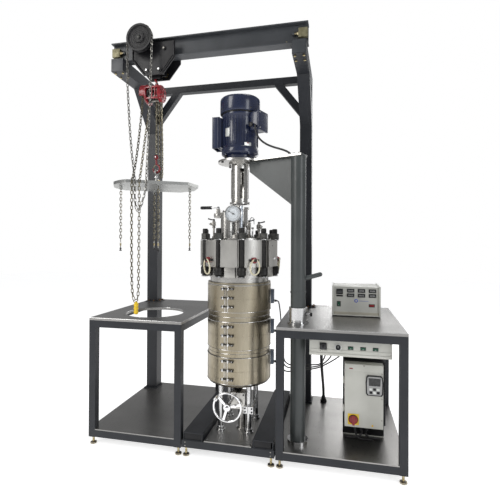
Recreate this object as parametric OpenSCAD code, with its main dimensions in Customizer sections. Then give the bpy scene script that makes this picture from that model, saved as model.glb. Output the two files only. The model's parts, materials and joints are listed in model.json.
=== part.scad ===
// Floor-stand stirred pressure reactor with two side tables, a vessel jack,
// a swinging drive post and an overhead gantry with a trolley and chain hoist.
// Front is -Y, right is +X, up is +Z. The floor is z = 0.

/* [Tables] */
// Height of the table tops above the floor
top_h = 914; // [860:1:960]
// Thickness of the table tops
top_t = 18; // [10:1:25]
// Depth of the tables and the low base
depth = 1000; // [990:1:1040]
// Width of the left table
left_w = 710; // [700:1:720]
// Width of the low middle base
base_w = 640; // [636:1:660]
// Width of the right table
right_w = 810; // [800:1:860]
// Gap between neighbouring bays
bay_gap = 7; // [5:1:10]
// Section of the square frame tube
leg = 50; // [40:1:50]
// Height of the lower shelf surface
shelf_h = 113; // [113:1:120]
// Thickness of the shelf sheet
shelf_t = 7; // [3:1:8]
// Height of the levelling feet
foot_h = 54; // [50:1:56]
// Radius of the vessel hole in the left table top
hole_r = 222; // [200:1:225]

/* [Gantry] */
// Section of the gantry tube
post = 100; // [90:1:100]
// Height of the top of the gantry arms
gantry_h = 2893; // [2850:1:2950]
// Front end of the gantry arms
arm_front = 232; // [225:1:250]
// Section of the rear cross bar
cross = 60; // [50:1:70]
// Depth of the trolley beam
beam_d = 150; // [140:1:160]
// Width of the trolley beam flanges
beam_w = 85; // [80:1:90]

/* [Reactor] */
// Distance of the reactor axis from the left table's outer side
axis_x = 1040; // [1038:1:1042]
// Distance of the reactor axis and hoist line from the front
line_y = 320; // [318:1:324]
// Outer radius of the heater bands
heater_r = 234; // [228:1:236]
// Radius of the stud circle of the closure
stud_pcr = 265; // [265:1:266]
// Number of closure studs
stud_count = 10; // [10:1:10]
// Radius of each closure stud
stud_r = 20; // [18:1:21]

/* [Jack] */
// Radius of the four lift posts
lift_r = 19; // [17:1:20]
// Outer radius of the handwheel
wheel_r = 101; // [95:1:105]

/* [Hoist] */
// Distance of the hoist from the left table's outer side, at rest
hoist_x = 364; // [360:1:368]
// Length of the spreader plate
plate_l = 632; // [620:1:640]
// Width of the spreader plate
plate_w = 460; // [450:1:464]
// Height of the spreader plate's top face
plate_z = 1910; // [1900:1:1915]

/* [Swing arm] */
// Radius of the swing post
swing_r = 50.8; // [48:0.1:50.8]
// Distance of the swing post from the left table's outer side
swing_x = 1492; // [1490:1:1496]
// Distance of the swing post from the front
swing_y = 162; // [160:1:170]
// Height of the motor plate's underside
arm_z = 2050; // [2040:1:2060]

/* [Hidden] */
$fn = 64;

// Gap left at welds, so that each tube stays one plain bar
weld = 0.2;
// Side of the left table, the base and the right table
base_x = left_w + bay_gap;
right_x = base_x + base_w + bay_gap;
total_w = right_x + right_w;
// Front tip of the handwheel's grip
grip_tip = -70;
// Ends of the trolley beam
beam_x0 = -10;
beam_x1 = 1545;
// The model is centred on the middle of its footprint
origin_x = (beam_x0 + total_w) / 2;
origin_y = (grip_tip + depth) / 2;
// Underside of the table tops
under_top = top_h - top_t;
rail_z = under_top - leg;
low_rail_z = shelf_h - shelf_t - leg;
tube_wall = 3;
post_wall = 6;
// Gantry columns
col_y = 850;
col_xs = [22, 1435];
foot_plate_t = 10;
// Base frame and its guide rails
base_tube_z = 62;
rail_w = 136;
rail_h = 53;
base_plate_t = 8;
base_top = base_tube_z + leg;
lift_xs = [axis_x - 103, axis_x + 103];
lift_ys = [line_y - 120, line_y + 120];
bush_h = 26;
// Jack
screw_x = axis_x + 40;
screw_y = line_y - 58;
screw_r = 9;
jack_tube_r = 28;
wheel_z = 363;
gear_z = 332;
// Vessel and closure heights
vessel_bottom = 470;
ring_z0 = 1292;
ring_z1 = 1479;
stud_a0 = -73;
stud_step = 360 / stud_count;
block_a0 = stud_a0 - stud_step / 2;
// Pivot of the lifting rings
bail_r = 290;
bail_z = 1340;
// Swing arm
arm_reach = sqrt(pow(swing_x - axis_x, 2) + pow(line_y - swing_y, 2));
arm_a = atan2(line_y - swing_y, axis_x - swing_x);
guard_z0 = 1746;
// Motor
motor_z0 = 2089;
// Trolley wheels
wheel_axis_z = gantry_h + 9 + 45.5;
travel_x = hoist_x - 81;
travel_y = 190;
travel_z = 3012;
// Hoist
hoist_z = 2622;
plate_t = 22;
plate_a = 30;
chain_pts = [[264, 0], [0, 210], [-264, 0], [0, -210]];
chain_top = plate_z - plate_t - 14;
chain_bottom = 1395;
// Valves on the head
port_x = axis_x - 76;
port_y = line_y - 42;
main_valve_z = 1675;
gauge = [1023, 206, 1668];
left_valve = [850, 285, 1585];
front_valve = [1128, 250, 1572];
right_valve = [1196, 268, 1560];
drain_z = 395;
// Boxes on the right table
panel = [1577, 60, 737];
panel_size = [510, 200, under_top - 737];
ctrl = [1715, 505, top_h + 12];
ctrl_size = [347, 280, 208];
cab = [1803, 190, 236];
cab_size = [247, 160, 420];
cab_wall = 3;
door_t = 22;

// ---------- shared shapes ----------

// Place the model's working coordinates on the common origin
module placed() {
    translate([-origin_x, -origin_y, 0]) children();
}

// Square or flat hollow tube along X, Y or Z, open at its ends
module tube_x(x0, x1, y, z, w, h, t) {
    translate([x0, y, z]) difference() {
        cube([x1 - x0, w, h]);
        translate([-1, t, t]) cube([x1 - x0 + 2, w - 2 * t, h - 2 * t]);
    }
}

module tube_y(x, y0, y1, z, w, h, t) {
    translate([x, y0, z]) difference() {
        cube([w, y1 - y0, h]);
        translate([t, -1, t]) cube([w - 2 * t, y1 - y0 + 2, h - 2 * t]);
    }
}

module tube_z(x, y, z0, z1, s, t) {
    translate([x, y, z0]) difference() {
        cube([s, s, z1 - z0]);
        translate([t, t, -1]) cube([s - 2 * t, s - 2 * t, z1 - z0 + 2]);
    }
}

// Cylinder along Y that starts at y and runs back
module rod_y(x, y, z, r, l) {
    translate([x, y, z]) rotate([-90, 0, 0]) cylinder(h = l, r = r);
}

module rod_x(x, y, z, r, l) {
    translate([x, y, z]) rotate([0, 90, 0]) cylinder(h = l, r = r);
}

module rod_z(x, y, z, r, l) {
    translate([x, y, z]) cylinder(h = l, r = r);
}

// Round ring about Z
module ring_z(x, y, z, ro, ri, h) {
    translate([x, y, z]) difference() {
        cylinder(h = h, r = ro);
        translate([0, 0, -1]) cylinder(h = h + 2, r = ri);
    }
}

module at_axis(a = 0) {
    translate([axis_x, line_y, 0]) rotate([0, 0, a]) children();
}

// A tube swept through a list of points, with one polygonal section per point
sides = 8;
function unit(v) = v / norm(v);
function side_of(t) = unit(cross_of(t, abs(t[2]) > 0.9 ? [0, 1, 0] : [0, 0, 1]));
function cross_of(a, b) = [
    a[1] * b[2] - a[2] * b[1],
    a[2] * b[0] - a[0] * b[2],
    a[0] * b[1] - a[1] * b[0]
];
function tangent(p, i) = unit(p[min(i + 1, len(p) - 1)] - p[max(i - 1, 0)]);
function carried(prev, t) = unit(prev - t * (prev * t));
function frames(p, i = 0, acc = []) = i == len(p) ? acc :
    let (t = tangent(p, i))
    let (n = i == 0 ? side_of(t) : carried(acc[i - 1], t))
    frames(p, i + 1, concat(acc, [n]));

module swept(p, r) {
    n = frames(p);
    pts = [for (i = [0 : len(p) - 1], k = [0 : sides - 1])
        let (b = cross_of(tangent(p, i), n[i]))
        p[i] + r * (n[i] * cos(360 * k / sides) + b * sin(360 * k / sides))];
    walls = [for (i = [0 : len(p) - 2], k = [0 : sides - 1])
        let (a = i * sides + k, b = i * sides + (k + 1) % sides)
        [a, a + sides, b + sides, b]];
    caps = [
        [for (k = [0 : sides - 1]) k],
        [for (k = [sides - 1 : -1 : 0]) (len(p) - 1) * sides + k]
    ];
    polyhedron(points = pts, faces = concat(walls, caps), convexity = 6);
}

// A smooth run through hand-set points
function spline_at(p, i, t) =
    let (a = p[max(i - 1, 0)], b = p[i], c = p[i + 1], d = p[min(i + 2, len(p) - 1)])
    0.5 * (2 * b + (c - a) * t + (2 * a - 5 * b + 4 * c - d) * t * t
        + (3 * b - a - 3 * c + d) * t * t * t);
function smooth(p, steps) = concat(
    [for (i = [0 : len(p) - 2], s = [0 : steps - 1]) spline_at(p, i, s / steps)],
    [p[len(p) - 1]]);

// ---------- tables, base and gantry ----------

// Four legs, four top rails and four low rails of one table
module table_frame(x0, w, left_end) {
    for (x = [x0, x0 + w - leg], y = [0, depth - leg])
        tube_z(x, y, foot_h, under_top, leg, tube_wall);
    for (y = [0, depth - leg], z = [rail_z, low_rail_z])
        tube_x(x0 + leg + weld, x0 + w - leg - weld, y, z, leg, leg, tube_wall);
    for (x = [x0, x0 + w - leg])
        tube_y(x, leg + weld, depth - leg - weld, low_rail_z, leg, leg, tube_wall);
    tube_y(x0, leg + weld, left_end - weld, rail_z, leg, leg, tube_wall);
    tube_y(x0 + w - leg, leg + weld, depth - leg - weld, rail_z, leg, leg, tube_wall);
}

module left_table_frame() {
    color("darkslategray") placed() table_frame(0, left_w, col_y);
}

module right_table_frame() {
    color("darkslategray") placed() table_frame(right_x, right_w, depth - leg);
}

// Square hole that a gantry column passes through
module column_hole(z, h) {
    for (x = col_xs)
        translate([x - 1, col_y - 1, z]) cube([post + 2, post + 2, h]);
}

module table_tops() {
    color("lightgray") placed() difference() {
        union() {
            translate([0, 0, under_top]) cube([left_w, depth, top_t]);
            translate([right_x, 0, under_top]) cube([right_w, depth, top_t]);
        }
        rod_z(hoist_x, line_y, under_top - 1, hole_r, top_t + 2);
        rod_z(swing_x, swing_y, under_top - 1, swing_r + 3, top_t + 2);
        column_hole(under_top - 1, top_t + 2);
    }
}

// One shelf sheet, notched round the four legs
module shelf(x0, w) {
    difference() {
        translate([x0, 0, shelf_h - shelf_t]) cube([w, depth, shelf_t]);
        for (x = [x0 - 1, x0 + w - leg - weld], y = [-1, depth - leg - weld])
            translate([x, y, shelf_h - shelf_t - 1]) cube([leg + 1 + weld, leg + 1 + weld, shelf_t + 2]);
    }
}

module shelves() {
    color("silver") placed() {
        shelf(0, left_w);
        shelf(right_x, right_w);
        difference() {
            translate([876, 2, base_top]) cube([328, depth - 4, base_plate_t]);
            for (x = lift_xs, y = lift_ys)
                rod_z(x, y, base_top - 1, lift_r + 4, base_plate_t + 2);
        }
    }
}

// Perimeter of the low base, with a box rail on each side
module base_frame() {
    color("darkslategray") placed() {
        for (y = [0, depth - leg])
            tube_x(base_x, base_x + base_w, y, base_tube_z, leg, leg, tube_wall);
        for (x = [base_x, 862, 1168, base_x + base_w - leg])
            tube_y(x, leg + weld, depth - leg - weld, base_tube_z, leg, leg, tube_wall);
        tube_y(base_x + 13, 3, 930, base_top, rail_w, rail_h, 5);
        tube_y(base_x + base_w - 7 - rail_w, 3, 930, base_top, rail_w, rail_h, 5);
    }
}

// Threaded foot with a round pad and a lock nut
module foot(x, y, h) {
    rod_z(x, y, 0, 22, 10);
    rod_z(x, y, 10, 7, h - 10);
    translate([x, y, h - 9]) cylinder(h = 8, r = 13, $fn = 6);
}

module levelling_feet() {
    color("darkgoldenrod") placed() {
        for (x0 = [0, right_x], y = [leg / 2, depth - leg / 2]) {
            foot(x0 + leg / 2, y, foot_h);
            foot(x0 + (x0 == 0 ? left_w : right_w) - leg / 2, y, foot_h);
        }
        for (x = [base_x + leg / 2, base_x + base_w - leg / 2], y = [leg / 2, depth - leg / 2])
            foot(x, y, base_tube_z);
    }
}

// Sloping tube from the column face up to the underside of a bar.
// y is forward distance, z is down from the bar, drawn in a side view.
module knee(run, drop, s, w, t) {
    a = atan2(drop, run);
    l = norm([run, drop]) + 2 * s;
    intersection() {
        translate([0, -run - s * 2, -drop - s * 2]) cube([w, run + s * 2, drop + s * 2]);
        translate([0, 0, -drop]) rotate([180 - a, 0, 0]) translate([0, -s, -s])
            tube_y(0, -s, l, 0, w, s, t);
    }
}

module gantry_side(x) {
    tube_z(x, col_y, shelf_h + foot_plate_t, gantry_h, post, post_wall);
    translate([x - 12, col_y - 30, shelf_h]) cube([post + 24, post + 28, foot_plate_t]);
    tube_y(x, arm_front, col_y - weld, gantry_h - post, post, post, post_wall);
    translate([x, arm_front - 5, gantry_h - post]) cube([post, 5 - weld, post]);
    translate([x, col_y - weld, gantry_h - post - weld]) knee(269, 323, 80, post, post_wall);
    translate([x, col_y - 36, top_h]) cube([post, 36 - weld, 8]);
    translate([x + post + weld, col_y + 5, top_h]) cube([36, post - 10, 8]);
}

module gantry_frame() {
    color("darkslategray") placed() {
        for (x = col_xs) gantry_side(x);
        x0 = col_xs[0] + post;
        x1 = col_xs[1];
        brace_z = gantry_h - cross - weld;
        tube_x(x0 + weld, x1 - weld, col_y, gantry_h - cross, cross, cross, 4);
        translate([x0 + weld, col_y, brace_z]) rotate([0, 0, 90])
            knee(221, 283, cross, cross, 4);
        translate([x1 - weld, col_y + cross, brace_z]) rotate([0, 0, -90])
            knee(221, 283, cross, cross, 4);
    }
}

// Rolled beam with a stop at each end
module trolley_beam() {
    flange = 9;
    web = 6;
    color("dimgray") placed() {
        translate([beam_x0, line_y - beam_w / 2, gantry_h]) {
            cube([beam_x1 - beam_x0, beam_w, flange]);
            translate([0, 0, beam_d - flange]) cube([beam_x1 - beam_x0, beam_w, flange]);
            translate([0, (beam_w - web) / 2, 0]) cube([beam_x1 - beam_x0, web, beam_d]);
        }
        for (side = [-1, 1]) {
            y = side < 0 ? line_y - web / 2 - 32 : line_y + web / 2;
            translate([beam_x0 + 4, y, gantry_h + 42]) cube([64, 32, 66]);
            translate([beam_x1 - 70, y, gantry_h + 42]) cube([64, 32, 66]);
            rod_x(beam_x0 + 68, y + 16, gantry_h + 75, 8, 30);
            rod_x(beam_x1 - 100, y + 16, gantry_h + 75, 8, 30);
            rod_x(beam_x0 + 98, y + 16, gantry_h + 75, 13, 14);
            rod_x(beam_x1 - 114, y + 16, gantry_h + 75, 13, 14);
        }
    }
}

// Chrome collar and flanges of the swing post, and the bushes of the lift posts
module bearing_collars() {
    color("gainsboro") placed() {
        ring_z(swing_x, swing_y, top_h, 72, swing_r + 0.05, 9);
        ring_z(swing_x, swing_y, top_h + 9, 62, swing_r + 0.05, 101);
        ring_z(swing_x, swing_y, shelf_h, 70, swing_r + 0.05, 22);
        rod_z(swing_x, swing_y, shelf_h, swing_r + 0.05, 6);
        for (x = lift_xs, y = lift_ys) {
            ring_z(x, y, base_top + base_plate_t, 33, lift_r + 0.05, 8);
            ring_z(x, y, base_top + base_plate_t + 8, 26, lift_r + 0.05, bush_h - 8);
        }
    }
}

// ---------- vessel jack ----------

module jack_housing() {
    z0 = base_top + base_plate_t;
    color("silver") placed() {
        difference() {
            union() {
                rod_z(screw_x, screw_y, z0, 44, 8);
                rod_z(screw_x, screw_y, z0, jack_tube_r, gear_z - z0);
                translate([axis_x - 28, 214, gear_z]) cube([100, 78, 54]);
                translate([axis_x - 28, 205, 272]) cube([100, 9, 114]);
                rod_y(axis_x + 24, 190, 312, 30, 16);
                rod_y(axis_x + 24, 184, 312, 12, 20);
            }
            rod_z(screw_x, screw_y, z0 + 4, jack_tube_r - 3.5, gear_z - z0 - 10);
            rod_z(screw_x, screw_y, z0 + 5, screw_r + 0.05, gear_z - z0 + 10);
            translate([axis_x - 22, 220, gear_z + 6]) cube([88, 66, 46]);
            rod_y(axis_x, 200, wheel_z, 10.05, 40);
            translate([screw_x, screw_y - 20, z0 + 16]) cube([40, 40, 180]);
        }
    }
}

module jack_screw() {
    z0 = base_top + base_plate_t;
    color("slategray") placed() {
        rod_z(screw_x, screw_y, z0 + 5.5, screw_r, 376 - z0 - 5.5);
        rod_z(screw_x, screw_y, wheel_z - 6, 19.8, 12);
    }
}

// Chrome wheel with three spokes, a grip on the rim and a long shaft
module handwheel() {
    rim = 7;
    rim_r = wheel_r - rim;
    grip_a = 133;
    color("gainsboro") placed() {
        translate([axis_x, 0, wheel_z]) rotate([90, 0, 0]) {
            rotate_extrude() translate([rim_r, 0]) circle(r = rim);
            translate([0, 0, -14]) cylinder(h = 26, r = 22);
            translate([0, 0, 12]) cylinder(h = 8, r = 12);
            for (a = [15, grip_a, 253]) rotate([0, 0, a]) {
                translate([16, -8, -5]) cube([rim_r - 16, 16, 9]);
            }
            rotate([0, 0, grip_a]) translate([rim_r, 0, 0]) {
                cylinder(h = 26, r = 6);
                translate([0, 0, 22]) cylinder(h = 40, r = 11);
                translate([0, 0, 62]) sphere(r = -grip_tip - 62);
            }
            rotate([0, 0, 15]) translate([58, 0, 0]) cylinder(h = 16, r = 8);
            translate([0, 0, -280]) cylinder(h = 270, r = 10);
            translate([0, 0, -screw_y - 6]) cylinder(h = 12, r = 19.8);
        }
    }
}

// Four posts under the vessel, with the block that the jack pushes
module lift_posts() {
    bottom = 76;
    color("lightgray") placed() {
        for (x = lift_xs, y = lift_ys)
            rod_z(x, y, bottom, lift_r, vessel_bottom - 18 - bottom);
        difference() {
            union() {
                translate([screw_x + 34, 158, 265]) cube([68, 126, 48]);
                translate([screw_x, screw_y - 15, 275]) cube([36, 30, 28]);
                rod_z(screw_x, screw_y, 275, 22, 28);
            }
            rod_z(screw_x, screw_y, 264, screw_r + 0.06, 60);
            translate([screw_x + 62, 157, 264]) cube([3, 30, 50]);
        }
    }
}

// ---------- vessel, heater and closure ----------

// Open pot with a dished bottom and a heavy flange
module vessel() {
    color("silver") placed() at_axis() rotate_extrude($fn = 96) difference() {
        polygon([[0, vessel_bottom], [110, vessel_bottom], [160, vessel_bottom + 14],
            [190, vessel_bottom + 36], [205, vessel_bottom + 60], [205, 1180], [216, 1180],
            [216, 1216], [232, 1216], [232, 1352], [0, 1352]]);
        translate([0, vessel_bottom + 46]) square([180, 1400]);
        square([14, 1000]);
    }
}

module band(z0, z1, ro) {
    ring_z(axis_x, line_y, z0, ro, 207, z1 - z0);
}

// Three heater zones and the bare jacket between them
module heater_bands() {
    color("rosybrown") placed() {
        band(977, 1162, heater_r);
        band(716, 910, heater_r);
        band(478, 664, heater_r);
        band(910, 977, heater_r - 6);
        band(664, 716, heater_r - 6);
        band(1162, 1179, heater_r - 2);
        at_axis() rotate_extrude($fn = 96) polygon([[150, 452], [200, 452], [222, 462],
            [232, 478], [207, 478], [190, 457], [150, 457]]);
    }
}

// Clamping screws on the front and terminal boxes on the right
module heater_fittings() {
    color("dimgray") placed() {
        for (zone = [977, 716, 478], step = [30, 92, 154]) at_axis(-99) {
            translate([heater_r, -26, zone + step]) cube([16, 10, 22]);
            translate([heater_r, 14, zone + step]) cube([16, 10, 22]);
            translate([heater_r + 9, -30, zone + step + 11]) rotate([-90, 0, 0])
                cylinder(h = 76, r = 4.5);
        }
        for (zone = [1020, 800, 575]) at_axis(4) {
            translate([heater_r + 1, -24, zone]) cube([24, 48, 100]);
            translate([heater_r + 25, 0, zone + 16]) rotate([0, 90, 0]) cylinder(h = 20, r = 8);
        }
    }
}

// Split ring with stud slots, and a flat joint block in every second gap
module clamp_ring() {
    block_w = 118;
    color("silver") placed() at_axis() difference() {
        union() {
            translate([0, 0, ring_z0]) cylinder(h = ring_z1 - ring_z0, r = 270, $fn = 96);
            for (k = [0 : 2 : stud_count - 2]) rotate([0, 0, block_a0 + stud_step * k]) {
                translate([240, -block_w / 2, ring_z0 + 2])
                    cube([46, block_w, ring_z1 - ring_z0 - 4]);
                translate([238, -38, 1219]) cube([24, 76, ring_z0 - 1200]);
                rotate([0, 0, -stud_step]) translate([240, 0, bail_z]) rotate([0, 90, 0])
                    cylinder(h = 34, r = 20);
            }
        }
        translate([0, 0, 1200]) cylinder(h = 300, r = 232.5, $fn = 96);
        for (k = [0 : stud_count - 1]) rotate([0, 0, stud_a0 + stud_step * k])
            translate([stud_pcr, 0, 1200]) cylinder(h = 300, r = stud_r + 0.4);
    }
}

// Ten studs, each with a washer and a nut above and a round nut below
module clamp_studs() {
    color("black") placed() at_axis()
        for (k = [0 : stud_count - 1]) rotate([0, 0, stud_a0 + stud_step * k])
            translate([stud_pcr, 0, 0]) {
                translate([0, 0, 1228]) cylinder(h = 333, r = stud_r);
                translate([0, 0, 1216]) cylinder(h = 12, r = 12);
                translate([0, 0, 1236]) cylinder(h = 54, r = 31);
                translate([0, 0, ring_z1]) cylinder(h = 6, r = 32);
                translate([0, 0, ring_z1 + 6]) cylinder(h = 43, r = 31, $fn = 6);
            }
}

// Cover with the drive housing on top and bores for the fittings
module vessel_head() {
    color("silver") placed() difference() {
        union() {
            at_axis() {
                translate([0, 0, 1352]) cylinder(h = 140, r = 232, $fn = 96);
                translate([0, 0, 1340]) cylinder(h = 12, r = 179.5);
                translate([0, 0, 1492]) cylinder(h = 26, r = 92);
                translate([0, 0, 1518]) cylinder(h = 190, r = 62);
                translate([0, 0, 1708]) cylinder(h = 14, r = 70);
            }
            rod_z(port_x, port_y, 1492, 56, 188);
            rod_z(port_x, port_y, 1680, 44, 14);
            rod_z(axis_x + 30, line_y - 74, 1492, 11, 236);
            rod_y(gauge[0], gauge[1] + 14, gauge[2] - 10, 9, 60);
        }
        at_axis() translate([0, 0, 1330]) cylinder(h = 400, r = 12.5);
    }
}

// A small needle valve: body, inlet stem and bonnet, leaning outward
module small_valve(p, a) {
    translate(p) rotate([0, 0, a]) {
        translate([0, 0, 1492 - p[2]]) cylinder(h = p[2] - 1492, r = 7);
        translate([-14, -12, 0]) cube([28, 24, 30]);
        translate([14, 0, 15]) rotate([0, 90, 0]) cylinder(h = 14, r = 8);
        translate([0, 0, 30]) cylinder(h = 10, r = 9);
    }
}

module valve_bodies() {
    color("gray") placed() {
        small_valve(left_valve, 180);
        small_valve(front_valve, -90);
        small_valve(right_valve, -40);
        // Main ball valve on the side of the charging port
        rod_x(port_x - 108, port_y, main_valve_z - 13, 13, 60);
        translate([port_x - 98, port_y - 17, main_valve_z - 35]) cube([40, 34, 66]);
        rod_z(port_x - 78, port_y, main_valve_z + 31, 11, 10);
        // Drain valve under the vessel
        rod_z(axis_x, line_y, drain_z - 14, 12, vessel_bottom - drain_z + 18);
        rod_z(axis_x, line_y, drain_z + 36, 24, 12);
        translate([axis_x - 26, line_y - 20, drain_z - 26]) cube([52, 40, 52]);
        rod_z(axis_x, line_y, drain_z - 44, 24, 18);
    }
}

// Gauge case with its stem, leaving the dial open in front
module gauge_case() {
    color("white") placed() {
        difference() {
            rod_y(gauge[0], gauge[1] - 26, gauge[2], 61, 40);
            rod_y(gauge[0], gauge[1] - 27, gauge[2], 54, 15);
        }
        rod_y(gauge[0], gauge[1] - 18, gauge[2], 2, 6);
    }
}

module gauge_pointer() {
    color("black") placed() difference() {
        translate([gauge[0], gauge[1] - 18.5, gauge[2]]) rotate([0, 30, 0]) {
            translate([-44, 0, -1.5]) cube([58, 2, 3]);
            rotate([-90, 0, 0]) cylinder(h = 3, r = 5);
        }
        rod_y(gauge[0], gauge[1] - 20, gauge[2], 2.05, 10);
    }
}

module main_valve_lever() {
    color("black") placed() {
        translate([port_x - 132, port_y - 12, main_valve_z + 41.4]) cube([70, 24, 6]);
        rod_x(port_x - 218, port_y, main_valve_z + 46, 12, 90);
    }
}

// Short lever handle that turns on a small valve's bonnet
module small_lever(p, a) {
    translate([p[0], p[1], p[2] + 40.4]) rotate([0, 0, a]) {
        cylinder(h = 10, r = 8);
        translate([0, -4, 1]) cube([44, 8, 8]);
    }
}

module left_valve_lever() {
    color("black") placed() small_lever(left_valve, 200);
}

module front_valve_lever() {
    color("black") placed() small_lever(front_valve, -20);
}

module right_valve_lever() {
    color("black") placed() small_lever(right_valve, 10);
}

module drain_lever() {
    color("black") placed() {
        rod_x(axis_x - 38, line_y, drain_z, 9, 11.6);
        translate([axis_x - 46, line_y - 5, drain_z - 6]) cube([8, 62, 12]);
    }
}

// Swivel block and hanging bail of one lifting ring
module lifting_ring(k) {
    color("wheat") placed() at_axis(block_a0 + stud_step * (2 * k - 1)) translate([bail_r, 0, bail_z]) {
        rotate([-90, 0, 0]) translate([0, 0, -16]) cylinder(h = 32, r = 14);
        for (y = [-34, 34]) translate([0, y, -70]) cylinder(h = 70, r = 6);
        translate([0, 0, -70]) rotate([-90, 0, 90]) rotate_extrude(angle = 180)
            translate([34, 0]) circle(r = 6);
        rotate([-90, 0, 0]) translate([0, 0, -40]) cylinder(h = 80, r = 7);
    }
}

module lifting_ring_1() { lifting_ring(0); }
module lifting_ring_2() { lifting_ring(1); }
module lifting_ring_3() { lifting_ring(2); }
module lifting_ring_4() { lifting_ring(3); }

// Stirrer shaft, its drive hub above the head and two turbine wheels
module stirrer() {
    color("silver") placed() at_axis() {
        translate([0, 0, 560]) cylinder(h = 1162, r = 12);
        translate([0, 0, 1722.5]) cylinder(h = 14, r = 26);
        for (z = [590, 860]) translate([0, 0, z]) {
            cylinder(h = 6, r = 52);
            for (k = [0 : 5]) rotate([0, 0, 60 * k])
                translate([40, -2, -16]) cube([38, 4, 38]);
        }
    }
}

// ---------- swing arm and drive ----------

module swing_post() {
    color("slategray") placed() {
        difference() {
            rod_z(swing_x, swing_y, shelf_h + 6.3, swing_r, arm_z - shelf_h - 6.3);
            rod_z(swing_x, swing_y, shelf_h, swing_r - 6, arm_z - shelf_h - 10);
        }
        translate([swing_x, swing_y, 0]) rotate([0, 0, arm_a]) {
            translate([0, 5, 0]) rotate([90, 0, 0]) linear_extrude(height = 10)
                polygon([[swing_r - 2, arm_z], [arm_reach - 88, arm_z], [arm_reach - 88, arm_z - 70],
                    [swing_r - 2, arm_z - 328]]);
        }
        // Bar that the operator pushes to swing the arm
        translate([swing_x, swing_y, 1207]) rotate([0, 74, 3]) {
            translate([0, 0, swing_r - 3]) cylinder(h = 105, r = 15);
            translate([0, 0, swing_r + 102]) sphere(r = 15);
        }
    }
}

// Totally enclosed motor standing on the arm's top plate
module motor() {
    color("midnightblue") placed() at_axis() {
        difference() {
            translate([0, 0, arm_z + 14]) cylinder(h = motor_z0 - arm_z - 13, r = 112);
            translate([0, 0, arm_z + 13]) cylinder(h = 60, r = 40);
        }
        difference() {
            translate([0, 0, motor_z0]) cylinder(h = 322, r = 136);
            translate([0, 0, motor_z0 - 1]) cylinder(h = 12, r = 40);
        }
        translate([0, 0, 2411]) cylinder(h = 120, r = 148.5);
        rotate([0, 0, -20]) {
            translate([120, -62, 2270]) cube([78, 124, 130]);
            translate([150, -86, 2300]) rotate([-90, 0, 0]) cylinder(h = 26, r = 14);
        }
        rotate([0, 0, 180]) translate([128, -60, 2163]) cube([70, 120, 227]);
    }
}

// Slotted tube between the motor plate and the head
module guard_tube() {
    color("silver") placed() {
        at_axis() difference() {
            union() {
                translate([0, 0, guard_z0]) cylinder(h = arm_z - guard_z0, r = 62);
                translate([0, 0, guard_z0]) cylinder(h = 10, r = 74);
                translate([0, 0, arm_z - 12]) cylinder(h = 12, r = 84);
                translate([0, 0, arm_z]) cylinder(h = 14, r = 162);
            }
            translate([0, 0, guard_z0 - 1]) cylinder(h = 400, r = 56);
            for (k = [0 : 3]) rotate([0, 0, stud_a0 + 12 + 90 * k])
                translate([0, -19, guard_z0 + 40]) cube([90, 38, 220]);
        }
        translate([swing_x, swing_y, arm_z]) rotate([0, 0, arm_a])
            translate([-40, -50, 0]) cube([arm_reach - 100, 100, 14]);
    }
}

// Motor shaft, coupling and the driving dog above the stirrer's hub
module drive_shaft() {
    color("gray") placed() at_axis() {
        translate([0, 0, guard_z0 - 1]) cylinder(h = 341, r = 14);
        translate([0, 0, guard_z0 - 1]) cylinder(h = 26, r = 30);
        translate([0, 0, 1890]) cylinder(h = 90, r = 32);
    }
}

// ---------- trolley and hoist ----------

// Side plates, wheel pins, cross bolts and the clevis for the hoist
module trolley_frame() {
    color("black") placed() {
        difference() {
            union() {
                for (y = [256, 2 * line_y - 266])
                    translate([hoist_x, y + 10, 0]) rotate([90, 0, 0]) linear_extrude(height = 10)
                        polygon([[-175, 2870], [-175, 3000], [175, 3000], [175, 2870],
                            [80, 2752], [-80, 2752]]);
                rod_y(travel_x, 238, travel_z, 24, 28);
            }
            rod_y(travel_x, 230, travel_z, 10.05, 60);
        }
        for (x = [hoist_x - 90, hoist_x + 90]) {
            rod_y(x, 266, wheel_axis_z, 12, 42);
            rod_y(x, 2 * line_y - 308, wheel_axis_z, 12, 42);
        }
        for (x = [hoist_x - 52, hoist_x + 52]) {
            rod_y(x, 244, 2790, 10, 2 * (line_y - 244));
            rod_y(x, 246, 2790, 17, 10);
            rod_y(x, 2 * line_y - 256, 2790, 17, 10);
        }
        for (y = [296, 334]) difference() {
            translate([hoist_x - 72, y, 2738]) cube([144, 10, 68]);
            translate([hoist_x - 73, y - 1, 2737]) cube([36, 12, 30]);
            translate([hoist_x + 37, y - 1, 2737]) cube([36, 12, 30]);
        }
        rod_y(hoist_x, 290, 2764, 9, 60);
    }
}

// Two flanged wheels that share one axle line
module wheel_pair(x) {
    difference() {
        union() {
            rod_y(x, 276, wheel_axis_z, 45, 30);
            rod_y(x, 268, wheel_axis_z, 51, 8);
            rod_y(x, 2 * line_y - 306, wheel_axis_z, 45, 30);
            rod_y(x, 2 * line_y - 276, wheel_axis_z, 51, 8);
        }
        rod_y(x, 260, wheel_axis_z, 12.05, 120);
    }
}

module left_wheels() {
    color("gray") placed() wheel_pair(hoist_x - 90);
}

module right_wheels() {
    color("gray") placed() wheel_pair(hoist_x + 90);
}

// Hand chain wheel of the trolley, with its shaft and pinion
module travel_wheel() {
    color("black") placed() {
        translate([travel_x, travel_y, travel_z]) rotate([-90, 0, 0]) {
            rotate_extrude($fn = 96) polygon([[0, -14], [40, -14], [44, -6], [84, -6],
                [90, -16], [104, -16], [97, 0], [104, 16], [90, 16], [84, 6], [44, 6],
                [40, 20], [0, 20]]);
            cylinder(h = 92, r = 10);
        }
        rod_y(travel_x, 268, travel_z, 13.5, 8);
    }
}

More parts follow.
